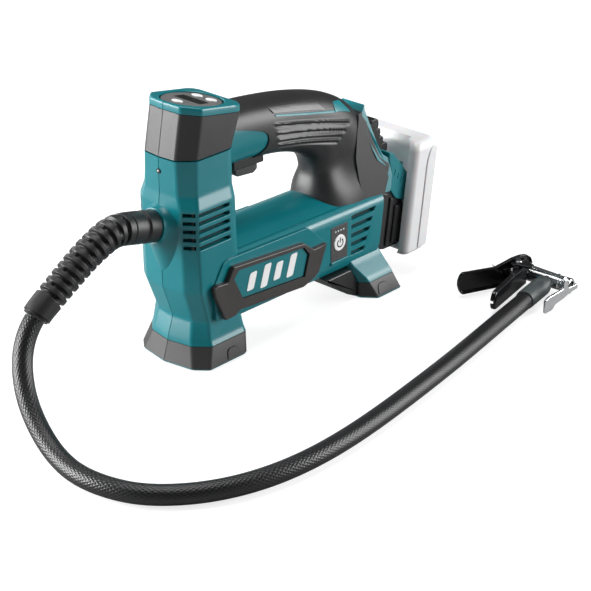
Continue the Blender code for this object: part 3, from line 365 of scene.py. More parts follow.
def eased(corners, radius, steps=4, closed=True):
    """The corners joined by straight lines, each corner swapped for a small parabola that starts and ends at
    most
    radius along its two lines."""
    corners = np.array(corners, float)
    reach = np.broadcast_to(radius, len(corners))
    line = []
    for i, here in enumerate(corners):
        if not closed and i in (0, len(corners) - 1):
            line.append(here[None])
            continue
        before, after = corners[i - 1] - here, corners[(i + 1) % len(corners)] - here
        near = min(reach[i], 0.45 * np.linalg.norm(before), 0.45 * np.linalg.norm(after))
        start = before / max(np.linalg.norm(before), 1e-9) * near
        finish = after / max(np.linalg.norm(after), 1e-9) * near
        t = np.linspace(0, 1, steps + 1)[:, None]
        line.append(here + (1 - t)**2 * start + t**2 * finish)
    return np.concatenate(line)


GLAND_R = 10.6
black_plastic = shades("black_plastic", (0.009, 0.009, 0.0095), 0.36, mottle=0.12, grain=0.1)
gland_profile = eased([(-4, 6), (0.3, 6), (0.3, GLAND_R), (9.2, GLAND_R), (9.9, GLAND_R - 1.3),
                       (11.3, GLAND_R - 1.3),
                       (12.0, GLAND_R), (GLAND_REACH, GLAND_R - 0.1), (GLAND_REACH, 5)], 0.7, closed=False)
turned("gland_nut", gland_profile, GLAND_SEAT, out, black_rubber, slot="black_plastic",
       stands_for=("hose_gland",))

# ---- The head tower: two teal shells that meet on a seam down the front ridge, eight-sided, waisted
# over the foot and stepped out below the neck. Slots through its sides let the air in.
NECK_Z = 143.5
FOOT_Z = 14.5
# z, ridge x, front-corner x and y, side-corner x and y, back x, back corner radius
TOWER = np.array([
    (FOOT_Z, 4.2, 7.6, 18.4, 16.5, 28.6, 50.5, 4.0), (18.0, 5.0, 8.2, 17.6, 16.8, 27.2, 50.0, 4.0),
    (31.0, 9.5, 11.5, 15.6, 17.5, 25.0, 49.0, 5.0), (54.0, 1.6, 3.6, 17.3, 10.0, 27.2, 48.0, 7.0),
    (111.0, 0.6, 2.2, 17.3, 9.2, 26.6, 46.5, 7.0), (119.5, 1.6, 2.9, 14.6, 11.2, 24.2, 46.5, 7.0),
    (NECK_Z, 1.7, 2.9, 13.8, 12.5, 23.3, 47.6, 7.0),
])
SEAM_HALF = 0.22
SEAM_DEEP = 0.7
teal_plastic = shades("teal_plastic", (0.0, 0.158, 0.185), 0.3, mottle=0.03, grain=0.05)
# Near black: painted shade in the vent floors, the trigger slot, the bleed hole and the gaps between the
# terminals, and the real black of the LED ring and the power sign.
black_and_painted_shade = shades("black_and_painted_shade", (0.004, 0.005, 0.005), 0.7, mottle=0.1, grain=0.1)


def tower_row(z, ridge, front, front_y, side, side_y, back_x, radius, drop=0.0, inset=0.0, slope=0.0):
    """The tower's outline at one height: ridge with its seam, front and side corners, rounded back
    corners."""
    lean = 0.55 * inset
    right = np.array([
        (front + inset, front_y - lean), (side + lean, side_y - inset), (back_x - radius, side_y - inset),
        (back_x - inset - 0.3 * radius, side_y - 0.3 * radius - inset * 0.6),
                      (back_x - inset, side_y - radius),
    ])
    seam = [(ridge + inset, SEAM_HALF), (ridge + inset + SEAM_DEEP, 0), (ridge + inset, -SEAM_HALF)]
    corners = np.concatenate([seam, right * (1, -1), right[::-1]])
    ease = [0.1, 0.1, 0.1] + [1.5, 1.5, 3, 3, 3] + [3, 3, 3, 1.5, 1.5]
    line = eased(corners, ease)
    return np.column_stack([line, z - drop - slope * (line[:, 0] - ridge)])


def softened(table, at, reach):
    """The table's other columns read at the given heights, each the mean of straight-line readings up to
    reach
    above and below, so that bends between straight stretches turn round."""
    shifts = np.linspace(-reach, reach, 5)
    return np.mean([[np.interp(at + s, table[:, 0], column) for column in table.T[1:]] for s in shifts], 0).T


def carve(piece, *cutters):
    """Cuts helper solids out of a piece and leaves the plain result."""
    piece.modifiers.clear()
    for cutter in cutters:
        cut = piece.modifiers.new("cut", "BOOLEAN")
        cut.object = cutter
        cut.operation = "DIFFERENCE"
        cut.solver = "EXACT"
    bpy.context.view_layer.update()
    piece.data = bpy.data.meshes.new_from_object(piece.evaluated_get(bpy.context.evaluated_depsgraph_get()))
    piece.modifiers.clear()
    crisp(piece.data)
    piece.modifiers.new("flat_faces", "WEIGHTED_NORMAL").keep_sharp = True
    for cutter in cutters:
        bpy.data.objects.remove(cutter)


def block(name, outline, low, high, ease, finish, body="machine", plane="xz", steps=4, **more):
    """An outline carried square to its plane from low to high, with the edges of both ends eased: each end is
    copies of the outline, drawn in along its own normals as a quarter circle."""
    outline = np.asarray(outline, float)
    if (outline[:, 0] * np.roll(outline[:, 1], -1) - np.roll(outline[:, 0], -1) * outline[:, 1]).sum() < 0:
        outline = outline[::-1]
    along = np.roll(outline, -1, 0) - np.roll(outline, 1, 0)
    inward = np.stack([-along[:, 1], along[:, 0]], 1) / np.linalg.norm(along, axis=1)[:, None]
    turn = np.linspace(0, math.pi / 2, steps)
    depth = np.concatenate([ease * (1 - np.sin(turn)), ease * (1 - np.sin(turn[::-1]))])
    level = np.concatenate([low + ease * (1 - np.cos(turn)), high - ease * (1 - np.cos(turn[::-1]))])
    flat = outline[None] + inward[None] * depth[:, None, None]
    level = np.broadcast_to(level[:, None, None], (*flat.shape[:2], 1))
    order = [flat[..., :1], level, flat[..., 1:]] if plane == "xz" else [flat, level]
    return skin(name, np.concatenate(order, -1), finish, body, **more)


def cutter(outline, low, high):
    """A sharp-edged helper solid, only for carve."""
    return block("cutter", outline, low, high, 0.01, None, None, steps=2)


def span(side, low, high):
    """Two depths across the machine, in order, on its left side (1) or its right (-1)."""
    return sorted((side * low, side * high))


def rect(x, z, radius, steps=4):
    """A rectangle between two x and two z, with eased corners."""
    return eased([(x[0], z[0]), (x[1], z[0]), (x[1], z[1]), (x[0], z[1])], radius, steps)


tower_z = np.arange(FOOT_Z + 0.3, NECK_Z + 0.01, 1.0)
tower_rows = [tower_row(z, *row) for z, row in zip(tower_z, softened(TOWER, tower_z, 0.9))]
tower = skin("tower_shell", tower_rows, teal_plastic, stands_for=("housing_left", "housing_right"))
SLOT_TALL = 2.7
SLOT_DEEP = 4.0
TOWER_SIDE = 26.9
CHAMFER_AT = (5.7, 21.95)
CHAMFER_TURN = math.atan2(26.6 - 17.3, 9.2 - 2.2)
SIDES = ((-1, "right"), (1, "left"))
cutters = []
for z in 86.0 + 5.6 * np.arange(5):
    for side, word in SIDES:
        tall = (z - SLOT_TALL / 2, z + SLOT_TALL / 2)
        cutters.append(cutter(rect((9.6, 36.6), tall, 0.5), *span(side, TOWER_SIDE - SLOT_DEEP, 40)))
        corner = cutter(rect((-4.4, 4.4), tall, 0.5), -4, 4)
        corner.data.transform(Matrix.Translation((MID * 0.001, 0, 0)))
        corner.rotation_euler = (0, 0, -side * CHAMFER_TURN)
        corner.location = to_row((CHAMFER_AT[0], side * CHAMFER_AT[1], 0))
        cutters.append(corner)
carve(tower, *cutters)
# Near-black boxes behind each side's slots make the slot floors: painted shade in the vents.
for side, word in SIDES:
    block(f"tower_vent_shade_{word}", rect((8.0, 38), (83, 111.5), 1), *span(side, 20.5, 23.6), 0.3, black_and_painted_shade)

# ---- The boss: a teal cone that swells out of the tower's front to hold the gland and runs down to a keel.
spread = np.linspace(0, 1, 14)[:, None]
angle = np.linspace(0, 2 * np.pi, 96, endpoint=False)[None]
lower = np.clip(-np.sin(angle), 0, 1)
tear_y = 16.8 * np.cos(angle) * (1 - 0.5 * lower**2)
tear_z = 96.5 + 17.5 * np.clip(np.sin(angle), 0, 1) - 41.5 * lower**1.15
nut_y, nut_z = 11.4 * np.cos(angle), 99 + 11.4 * np.sin(angle) * math.cos(GLAND_TILT)
swell = spread**1.7
boss_x = -6.0 + 0.2 + 10.0 * spread + 11.4 * np.sin(angle) * math.sin(GLAND_TILT) * (1 - spread)
boss_rows = np.stack([boss_x, nut_y * (1 - swell) + tear_y * swell, nut_z * (1 - swell) + tear_z * swell], -1)
skin("gland_boss", boss_rows, teal_plastic, flat=False)

# ---- The LED: a clear bead in the seam under the neck, set in a black ring.
clear_lens = shades("clear_lens", (0.55, 0.6, 0.6), 0.12, mottle=0.02, grain=0.0)
turned("led_ring", eased([(-0.15, 0.8), (-0.15, 1.7), (3, 1.7)], 0.2, closed=False), (1.3, 0, 134), (1, 0, 0),
       black_and_painted_shade, 32)
turned("led_bead", eased([(-0.4, 0.1), (-0.3, 0.6), (0.1, 0.85), (3, 0.85)], 0.2, closed=False),
       (1.3, 0, 134),
       (1, 0, 0), clear_lens, 32, stands_for=("led_lens",))

# ---- The collar and bezel: a dark grey band round the neck, and a teal cap tipped back over it.
HEIGHT = 178.0
TOP_SLOPE = 0.17
RIM_Z = HEIGHT - 5.3
TOP_ROW = (7.0, 8.3, 13.7, 17.7, 23.3, 55.5, 7.0)
neck = TOWER[-1][1:]
grey_band = shades("grey_band", (0.03, 0.03, 0.031), 0.34, mottle=0.06, grain=0.14,
                   grain_scale=1600)
share = np.linspace(0, 1, 24)[:, None]
top = np.array(TOP_ROW)
low_row = tower_row(NECK_Z + 0.35, *neck)
high_row = tower_row(RIM_Z, *top, slope=TOP_SLOPE)
collar_rows = low_row[None] * (1 - share[..., None]) + high_row[None] * share[..., None]
collar_rows = np.concatenate([tower_row(NECK_Z + 0.35, *neck, inset=0.35)[None], collar_rows])
skin("neck_collar", collar_rows, grey_band, stands_for=("collar_band",))
DIAL_X = 31.5
DIAL_HALF = np.array([20.8, 19.6])


def top_z(x, depth=0.0):
    return HEIGHT - TOP_SLOPE * (x - 7.0) - depth


def dial_row(grow, depth, like):
    """An oval's edge below the tipped top, with one point in the same direction as each point of a given
    row."""
    aim = np.arctan2(like[:, 1] / DIAL_HALF[1], (like[:, 0] - DIAL_X) / DIAL_HALF[0])
    x = DIAL_X + (DIAL_HALF[0] + grow) * np.cos(aim)
    return np.column_stack([x, (DIAL_HALF[1] + grow) * np.sin(aim), top_z(x, depth)])



def finer(row, steps=5):
    """The closed row with each of its sides split into equal steps."""
    t = np.arange(steps)[None, :, None] / steps
    return (row[:, None] * (1 - t) + np.roll(row, -1, 0)[:, None] * t).reshape(-1, 3)


edge = finer(tower_row(RIM_Z + 0.35, *top, slope=TOP_SLOPE))
bezel_rows = [finer(tower_row(RIM_Z + 0.35, *top, slope=TOP_SLOPE, inset=1.0)), edge]
for lift, draw in ((3.4, 0.0), (4.4, 0.5), (4.8, 0.9), (4.95, 1.5)):
    bezel_rows.append(finer(tower_row(RIM_Z + 0.35 + lift, *top, slope=TOP_SLOPE, inset=draw)))
for grow, depth in ((1.2, 0.0), (0.5, 0.1), (0.05, 0.5), (0.0, 4.6)):
    bezel_rows.append(dial_row(grow, depth, edge))
skin("top_cap", bezel_rows, teal_plastic, ring=True, stands_for=("top_bezel",))
face_grey = shades("face_grey", (0.12, 0.118, 0.118), 0.5, mottle=0.03, grain=0.1, speck=0.03)
plate_rows = [dial_row(-1.0, 4.0, edge), dial_row(-1.0, 1.2, edge), dial_row(-1.3, 0.95, edge)]
plate_rows.append(dial_row(-2.0, 0.85, edge))
skin("dial_face", plate_rows, face_grey, stands_for=("display_plate",))


def on_top(outline, levels):
    """Copies of an outline on the tipped top face at each (drawn in, depth)."""
    centre = outline.mean(0)
    rows = []
    for draw, depth in levels:
        reach = outline - centre
        flat = centre + reach * (1 - draw / np.linalg.norm(reach, axis=1)[:, None])
        rows.append(np.column_stack([flat, top_z(flat[:, 0], depth)]))
    return rows


lcd_glass = shades("lcd_glass", (0.004, 0.006, 0.005), 0.3, mottle=0.3, grain=0.0)
skin("lcd_glass", on_top(eased([(27, -11.6), (35.6, -11.6), (35.6, 11.6), (27, 11.6)], 0.8),
                         [(0, 3), (0, 0.8), (0.3, 0.7)]), lcd_glass, stands_for=("lcd_window",))
white_key = shades("white_key", (0.82, 0.82, 0.82), 0.35, mottle=0.01, grain=0.05)
oval = np.linspace(0, 2 * np.pi, 48, endpoint=False)
for key, (x, y) in {"mode_button": (19.3, 0.0), "plus_button": (42.5, -6.3),
                    "minus_button": (42.5, 6.3)}.items():
    rim = np.stack([x + 2.9 * np.cos(oval), y + 4.1 * np.sin(oval)], 1)
    skin(f"{key}_cap", on_top(rim, [(0, 3), (0, 0.6), (0.15, 0.35), (0.6, 0.2), (1.6, 0.1)]), white_key, key,
         stands_for=(key,))

# ---- The motor barrel: teal, round on top, with flat flanks that start at a crisp lip along each side.
BODY_HALF = 27.5
BODY_BACK = 183.0
RAKE = 0.131


def barrel_row(x, lean=0.0):
    """The barrel's outline at x; lean tips the row along the raked back."""
    crown, keel = 80.5 - 0.022 * (x - 45), 24.0 - 0.012 * (x - 45)
    h = BODY_HALF
    right = np.array([
        (5, crown - 0.3), (11, crown - 1.9), (16.5, crown - 4.4), (20.6, crown - 7.2), (21.6, crown - 8.0),
        (23.4, crown - 8.1), (h - 0.9, crown - 11.2), (h, crown - 15), (h, keel + 9), (h - 3.2, keel + 1.2),
        (h - 8, keel), (SEAM_HALF, keel), (0, keel + SEAM_DEEP / 2),
    ])
    corners = np.concatenate([[(0, crown)], right, (right * (-1, 1))[-2::-1]])
    ease = [3, 3, 3, 3, 0.9, 0.35, 0.35, 1.5, 2, 3, 3, 2, 0.1, 0.1]
    line = eased(corners, ease + ease[-2:0:-1], 3)
    return np.column_stack([x + lean * (line[:, 1] - 24.0), line])


barrel_x = np.linspace(38.0, BODY_BACK, 42)
barrel_rows = [barrel_row(x, RAKE * np.clip((x - 120) / (BODY_BACK - 120), 0, 1)) for x in barrel_x]
barrel = skin("barrel_shell", barrel_rows, teal_plastic)
cutters = []
for n in range(5):
    z = 35.0 + 6.6 * n
    right_end = 168.5 + 2.6 * n
    slot_line = eased([(153.5, z - 1.5), (right_end - 1.5, z - 1.5), (right_end, z + 1.5), (153.5, z + 1.5)],
                      0.5)
    cutters += [cutter(slot_line, *span(side, BODY_HALF - SLOT_DEEP, 40)) for side, word in SIDES]
carve(barrel, *cutters)
# Near-black boxes behind each side's slots make the slot floors: painted shade in the vents.
for side, word in SIDES:
    block(f"rear_vent_shade_{word}", rect((151, 181), (30, 65), 1), *span(side, 20.0, BODY_HALF - 3.0), 0.3,
          black_and_painted_shade)

# ---- The badges: on each flank a raised teal pad carries a brown-grey frame round a plain teal plate.
PAD = [(20.6, 56.5), (29.0, 69.6), (33.5, 71.2), (109.0, 68.9), (126.5, 53.0), (117.0, 33.0), (22.0, 30.5)]
FRAME = [
    (17.2, 56.3), (20.8, 57.8), (29.7, 56.8), (35.3, 66.1), (102.3, 60.7), (111.6, 53.2), (125.0, 53.5),
    (116.7, 34.5), (111.7, 31.7), (101.8, 28.5), (40.5, 33.7), (36.3, 30.9), (27.2, 30.7), (18.8, 49.4),
]
PLATE = [(35.1, 57.7), (39.8, 62.5), (101.8, 57.8), (107.0, 51.2), (102.6, 36.0), (43.4, 40.6)]
brown_grey = shades("brown_grey", (0.032, 0.027, 0.026), 0.4, mottle=0.05, grain=0.1)
plate_teal = shades("plate_teal", (0.004, 0.15, 0.175), 0.3, mottle=0.03, grain=0.03)
inner_line = np.mean(PLATE, 0) + (np.array(PLATE) - np.mean(PLATE, 0)) * 0.985
# x of each stroke and how tall it is: four slanted white bars stand where such a machine carries its mark
STROKES = ((47.5, 12.0), (60.0, 15.5), (72.5, 12.0), (85.0, 15.5))
STROKE_WIDE = 6.5
STROKE_LEAN = 0.32
for side, word in SIDES:
    block(f"badge_pad_{word}", eased(PAD, 1.5), *span(side, BODY_HALF - 4, BODY_HALF + 0.55), 0.4,
          teal_plastic)
    rim = block(f"badge_rim_{word}", eased(FRAME, 1.0), *span(side, BODY_HALF, BODY_HALF + 3.9), 0.9,
                brown_grey,
                stands_for=(f"badge_frame_{word}",))
    carve(rim, cutter(eased(PLATE, 0.6), *span(side, BODY_HALF - 3, BODY_HALF + 9)))
    block(f"badge_face_{word}", eased(inner_line, 0.6), *span(side, BODY_HALF, BODY_HALF + 2.5), 0.4,
          plate_teal,
          stands_for=(f"badge_plate_{word}",))
    for n, (x, tall) in enumerate(STROKES):
        z = 51.8 - 0.04 * x - tall / 2
        top_x = x + STROKE_LEAN * tall
        stroke = eased([(x, z), (x + STROKE_WIDE, z), (top_x + STROKE_WIDE, z + tall), (top_x, z + tall)],
                       1.6)
        block(f"badge_stroke_{n + 1}_{word}", stroke, *span(side, BODY_HALF + 1, BODY_HALF + 2.75), 0.1,
              white_key)

# ---- The power panel: a speckled grey plate let into the right flank, with a round white button
# that carries the usual power sign, over a small teal ledge.
PANEL_X, PANEL_Z = (132.5, 149.5), (35.0, 60.5)
FLANK = -BODY_HALF
speckled = shades("speckled_grey", (0.04, 0.038, 0.038), 0.5, mottle=0.05, grain=0.3,
                  grain_scale=1500, speck=0.05)
power_plate = block("power_plate", rect(PANEL_X, PANEL_Z, 0.8), FLANK - 0.35, FLANK + 2, 0.25, speckled,
                    stands_for=("power_panel",))
block("power_ledge", rect((132.2, 149.8), (32.6, 34.8), 0.6), FLANK - 1.2, FLANK + 1, 0.5, teal_plastic)
BUTTON = np.array([141.0, 47.5])
BUTTON_HOLE_R = 6.1
for n in range(4):
    turned(f"charge_light_{n + 1}", eased([(0, 0.7), (0.8, 0.7), (0.8, 0.1)], 0.1, closed=False),
           (PANEL_X[0] + 4.4 + 2.7 * n, FLANK - 0.6, 56.6), (0, 1, 0), clear_lens, 16)
for shell in (barrel, power_plate):
    carve(shell, turned("cutter", [(0, BUTTON_HOLE_R), (8, BUTTON_HOLE_R)], (BUTTON[0], FLANK - 4, BUTTON[1]),
                        (0, 1, 0), None, body=None))
turned("power_cap", eased([(0, 5.9), (1.6, 5.9), (1.9, 5.2)], 0.5, closed=False),
       (BUTTON[0], FLANK + 0.8, BUTTON[1]), (0, -1, 0), white_key, body="power_button",
       stands_for=("power_button",))
sign_turn = np.radians(np.linspace(125, 415, 40))
sign_arc = np.stack([np.cos(sign_turn), np.sin(sign_turn)], 1)
sign_ring = np.concatenate([sign_arc * 3.3, sign_arc[::-1] * 2.4]) + BUTTON
sign_bar = rect((-0.45, 0.45), (0.3, 3.9), 0.3) + BUTTON
for name, line in (("power_sign_ring", sign_ring), ("power_sign_bar", sign_bar)):
    block(name, line, FLANK - 1.2, FLANK - 0.6, 0.04, black_and_painted_shade, "power_button")

# ---- The handle: a teal core that shows as a stub by the tower, under a soft dark grey skin with long
# finger ribs, a teal line and a textured teal patch on each side, and a dished rear post.
# centre x, centre z, half width, half height, tilt in degrees
HANDLE = np.array([
    (38.0, 142.0, 15.5, 20.5, 0.0), (62.0, 142.5, 16.5, 20.5, -1.0), (84.0, 141.0, 17.0, 20.0, -6.0),
    (106.0, 138.0, 17.0, 20.0, -10.0), (128.0, 132.5, 17.0, 21.0, -18.0), (146.0, 124.5, 17.5, 23.5, -34.0),
    (158.5, 112.0, 18.5, 26.5, -56.0), (163.0, 98.0, 20.0, 27.5, -74.0), (163.0, 84.0, 23.0, 29.0, -84.0),
    (163.0, 66.5, 24.6, 29.5, -90.0),
])
handle_table = smooth_path(HANDLE)


def handle_points(share_along, t, grow=0.0):
    """The handle's surface: the squared oval |y/w|^2.5 + |u/h|^2.5 = 1 carried along the bent centre line.
    share_along runs from 0 at the tower to 1 at the post's foot, and t round the oval from +y over the
    top."""
    curve, reach = handle_table
    row = [np.interp(share_along * reach[-1], reach, curve[:, i]) for i in range(5)]
    tilt = np.radians(row[4])
    y = (row[2] + grow) * np.sign(np.cos(t)) * np.abs(np.cos(t)) ** 0.8
    up = (row[3] + grow) * np.sign(np.sin(t)) * np.abs(np.sin(t)) ** 0.8
    return np.stack([row[0] - up * np.sin(tilt), y + 0 * up, row[1] + up * np.cos(tilt)], -1)


round_turn = np.linspace(0, 2 * np.pi, 96, endpoint=False)[None]
stub_rows = handle_points(np.linspace(0.02, 0.36, 20)[:, None], round_turn, -0.9)
skin("handle_stub", stub_rows, teal_plastic, flat=False)
soft_grey = shades("soft_grey", (0.017, 0.017, 0.018), 0.4, mottle=0.05, grain=0.16,
                   grain_scale=1400)
# height and x of the skin's front edge, from over the neck down round the stub
EDGE_Z = np.array([112, 121, 124.5, 126.5, 130.2, 135.5, 139.5, 142.5, 146.0, 149.0, 151.0, 156])
EDGE_X = np.array([74, 75.5, 77.0, 79.5, 82.9, 84.1, 83.1, 80.0, 69.5, 59.0, 50.0, 44])
grip_turn = np.linspace(0, 2 * np.pi, 300, endpoint=False)[None]
start = np.full((1, 300), 0.2)
for _ in range(12):
    edge_at = handle_points(start, grip_turn)
    wanted = np.interp(edge_at[..., 2], EDGE_Z, EDGE_X)
    start = np.clip(start + (wanted - edge_at[..., 0]) / 260.0, 0.02, 0.5)
start = (np.roll(start, 1, 1) + start + np.roll(start, -1, 1)) / 3
along = np.linspace(0, 1, 210)[:, None]
grip = handle_points(start + (1 - start) * along, grip_turn)
# far end x and z, near end x and z and bow of each finger rib
RIBS_FROM = np.array([(90.5, 144.8), (91.5, 138.4), (93.0, 133.0), (95.0, 128.6)])
RIBS_TO = np.array([(161.4, 127.9), (157.7, 123.5), (154.2, 120.0), (150.8, 117.1)])
RIB_BOW = 0.9
flank = np.clip((np.abs(np.cos(grip_turn)) - 0.25) / 0.3, 0, 1) * np.ones_like(grip[..., 0])
raise_by = np.zeros_like(grip[..., 0])
for near, far in zip(RIBS_FROM, RIBS_TO):
    u = (grip[..., 0] - near[0]) / (far[0] - near[0])
    line = near[1] + (far[1] - near[1]) * u + RIB_BOW * 4 * u * (1 - u)
    ends = 1 / (1 + np.exp(-np.minimum(u, 1 - u) * 120))
    off = grip[..., 2] - line
    raise_by += ends * (0.8 * np.exp(-(off / 0.75)**2) - 0.9 * np.exp(-((off + 2.0) / 1.0)**2))
dish = np.exp(-((grip[..., 0] - 155) / 14)**2 - ((grip[..., 2] - 95) / 18)**2)
grip[..., 1] += np.sign(grip[..., 1]) * flank * (raise_by - 4.4 * dish)
lip = handle_points(start, grip_turn, -2.6)
lip_low = handle_points(start + 0.01, grip_turn, -2.6)
skin("soft_grip", np.concatenate([lip_low, lip, grip]), soft_grey,
     stands_for=("grip_left", "grip_right"), flat=False)
flank_points = grip.reshape(-1, 3)


def flank_y(x, z):
    """How far out the grip's side is at each (x, z): the mean of its four nearest points, weighted by
    nearness."""
    near = flank_points[flank_points[:, 1] < -6]
    shape = np.shape(x)
    gap = (np.ravel(x)[:, None] - near[:, 0])**2 + (np.ravel(z)[:, None] - near[:, 2])**2
    pick = np.argpartition(gap, 4, 1)[:, :4]
    weight = 1 / (np.take_along_axis(gap, pick, 1) + 0.05)
    return (near[pick, 1] * weight).sum(1).reshape(shape) / weight.sum(1).reshape(shape)


def laid(name, upper, lower, lift, side, finish, steps=60, across=10):
    """A thin strip on the grip between an upper and a lower line: its face stands lift proud and its edges
    sink in."""
    def resampled(points):
        points = np.array(points, float)
        run = np.concatenate([[0], np.cumsum(np.linalg.norm(np.diff(points, axis=0), axis=1))])
        at = np.linspace(0, run[-1], steps)
        return np.stack([np.interp(at, run, points[:, i]) for i in range(2)], 1)
    high, low = resampled(upper), resampled(lower)
    t = np.linspace(0, 1, across)[None, :, None]
    flat = high[:, None] * (1 - t) + low[:, None] * t
    y = flank_y(flat[..., 0], flat[..., 1])
    border = np.ones_like(y)
    border[0] = border[-1] = 0
    border[:, 0] = border[:, -1] = 0
    front = np.stack([flat[..., 0], -side * (y - lift * border + 0.35 * (1 - border)), flat[..., 1]], -1)
    rear = np.stack([flat[..., 0], -side * (y + 1.0), flat[..., 1]], -1)
    skin(name, np.concatenate([front, rear[:, ::-1]], 1), finish, flat=False)


band_grey = shades("band_grey", (0.13, 0.13, 0.132), 0.4, mottle=0.05, grain=0.14,
                   grain_scale=1400)
bright_teal = shades("bright_teal", (0.006, 0.19, 0.22), 0.35, mottle=0.05, grain=0.4,
                     grain_scale=700)
for side, word in SIDES:
    laid(f"grip_band_{word}", [(85.8, 156.3), (110, 152.6), (133.4, 147.4), (138.3, 142.3)],
         [(88.8, 152.0), (110, 147.8), (133.4, 142.6), (138.8, 141.2)], 0.8, side, band_grey)
    laid(f"grip_line_{word}", [(89.0, 151.4), (117.6, 145.3), (149.5, 138.3)],
         [(90.0, 149.7), (117.6, 143.3), (149.5, 136.5)], 0.5, side, bright_teal, across=6)
    laid(f"grip_patch_{word}", [(148.7, 138.0), (148.9, 141.2), (150.6, 143.6), (159.3, 141.9),
                                (166.0, 132.8)],
         [(148.8, 136.9), (153, 135.8), (158, 134.6), (162, 133.4), (165.6, 132.2)], 0.55, side, bright_teal,
         steps=40)

# ---- The trigger: a grey finger pad under the stub, in its own slot.
pull = eased([(61.5, 124), (61.5, 115.2), (64.0, 113.0), (79.0, 111.6), (82.4, 113.8), (82.4, 124)], 1.2)
block("finger_trigger", pull, -7.5, 7.5, 1.2, grey_band, "trigger", stands_for=("trigger",))
# A near-black frame round the trigger makes the slot's walls: painted shade in the recess.
slot = block("trigger_slot", eased([(58.5, 132), (58.5, 119), (86.5, 118), (86.5, 132)], 1.0), -9.2, 9.2, 0.8,
             black_and_painted_shade)
carve(slot, cutter(rect((61.2, 82.7), (100, 130), 0.6), -7.8, 7.8))

# ---- The feet: grey bumpers moulded round the shell's flared ends, with a thin teal sole and a small
# raised pad on each side, and a dark wedge that stiffens the rear one from below.
foot_grey = shades("foot_grey", (0.032, 0.03, 0.03), 0.42, mottle=0.05, grain=0.14,
                   grain_scale=1600)
FRONT_FOOT = np.array([
    (0.0, 0.6, 4.3, 22.4, 11.9, 31.4, 47.2, 4.0), (1.1, 0.0, 3.7, 23.0, 11.3, 32.1, 47.6, 4.0),
    (FOOT_Z, 4.2, 7.6, 18.4, 16.5, 28.6, 50.5, 4.0),
])
foot_z = np.linspace(1.4, FOOT_Z, 16)
foot_rows = [tower_row(z, *row) for z, row in zip(foot_z, softened(FRONT_FOOT, foot_z, 0.1))]
foot_rows.append(tower_row(FOOT_Z, *TOWER[0][1:], inset=0.5))
skin("front_bumper", foot_rows, foot_grey, stands_for=("front_foot",))
sole_rows = [tower_row(z, *row, inset=draw) for z, row, draw in zip(
    (0.0, 0.35, 1.1, 1.4), softened(FRONT_FOOT, np.array([0.0, 0.35, 1.1, 1.4]), 0.1), (0.5, 0.1, 0.1, 0.1))]
skin("front_sole", sole_rows, teal_plastic)


def foot_row(z, front, back_x, inner, outer, draw=0.0):
    """The rear foot's outline at one height: a rectangle with its two front corners cut."""
    right = np.array([(front + draw, -inner + draw), (front + (outer - inner) * 0.8 + draw, -outer + draw),
                      (back_x - draw, -outer + draw)])
    line = eased(np.concatenate([right, (right * (1, -1))[::-1]]), 1.2)
    return np.column_stack([line, np.full(len(line), z)])


rear_rows = [foot_row(1.2, 159.1, 191.9, 31.6, 41.6), foot_row(12.0, 158, 188.5, 31, 37),
             foot_row(12.05, 158, 188.5, 31, 37, 0.5)]
skin("rear_bumper", rear_rows, foot_grey, stands_for=("rear_foot",))
skin("rear_sole", [foot_row(0, 159, 192, 31.5, 41.8, 0.4), foot_row(0.5, 159, 192, 31.5, 41.8),
                   foot_row(1.2, 159, 192, 31.5, 41.8)], teal_plastic)
flare_z = np.linspace(12.3, 30, 20)
FLARE = np.array([(12.3, 158.0, 188.5, 31.0, 37.0), (15.5, 157.0, 187.4, 30.0, 35.6),
                  (25.0, 152.0, 186.5, 22.5, 27.4),
                  (30.0, 151.0, 186.0, 20.0, 24.0)])
flare_rows = [foot_row(z, *row) for z, row in zip(flare_z, softened(FLARE, flare_z, 0.6))]
skin("rear_flare", flare_rows, teal_plastic)
wedge = eased([(126, 23.6), (152, 23.6), (159, 11.8), (164, 11.4), (164, 0.8), (158, 0.8), (149, 5.4)], 1.5)
block("belly_wedge", wedge, -29.5, 29.5, 1.2, black_plastic)
PAD_SHAPE = np.array([(-6.5, 0.0), (6.5, 0.0), (4.6, 5.4), (1.8, 7.0), (-3.6, 7.0), (-5.6, 5.0)])
for side, word in SIDES:
    for at, foot, out_low, out_high, height in ((34.0, "front", 31.7, 30.0, 12.0),
                                                (175.0, "rear", 41.0, 38.0, 10.0)):
        line = eased(PAD_SHAPE + (at, 2.2), 0.8)
        rows = []
        for draw, lift in ((0.0, -1.5), (0.0, 0.35), (0.35, 0.7)):
            flat = line + (line.mean(0) - line) * draw / 5
            y = out_low + (out_high - out_low) * (flat[:, 1] - 2.2) / 7.0 + lift
            rows.append(np.column_stack([flat[:, 0], side * y, flat[:, 1]]))
        skin(f"{foot}_pad_{word}", rows, foot_grey)

# ---- The rear: the soft skin spreads into shoulders edged by a teal flange, over a teal key block and a
# black rail with upright channels and rounded terminals that the battery slides on.
def spread_sides(piece, half_at):
    """Scales a block of half width 1 sideways, to the half width that half_at gives at each point's x and
    z."""
    spots = np.empty(len(piece.data.vertices) * 3)
    piece.data.vertices.foreach_get("co", spots)
    spots = spots.reshape(-1, 3)
    spots[:, 1] *= half_at(spots[:, 0] * 1000 + MID, spots[:, 2] * 1000)
    piece.data.vertices.foreach_set("co", spots.ravel())
    crisp(piece.data)


def shoulder_half(x, z):
    """Half the shoulders' width: the post's own at its middle, widening backwards to the flange's."""
    post = np.interp(z, HANDLE[::-1, 1], HANDLE[::-1, 2]) - 0.8
    flange = np.interp(z, (70, 90, 105, 118, 126, 134), (24.9, 24.4, 21.5, 18.0, 13.5, 8.0))
    return post + (flange - post) * np.clip((x - 166) / 16, 0, 1)


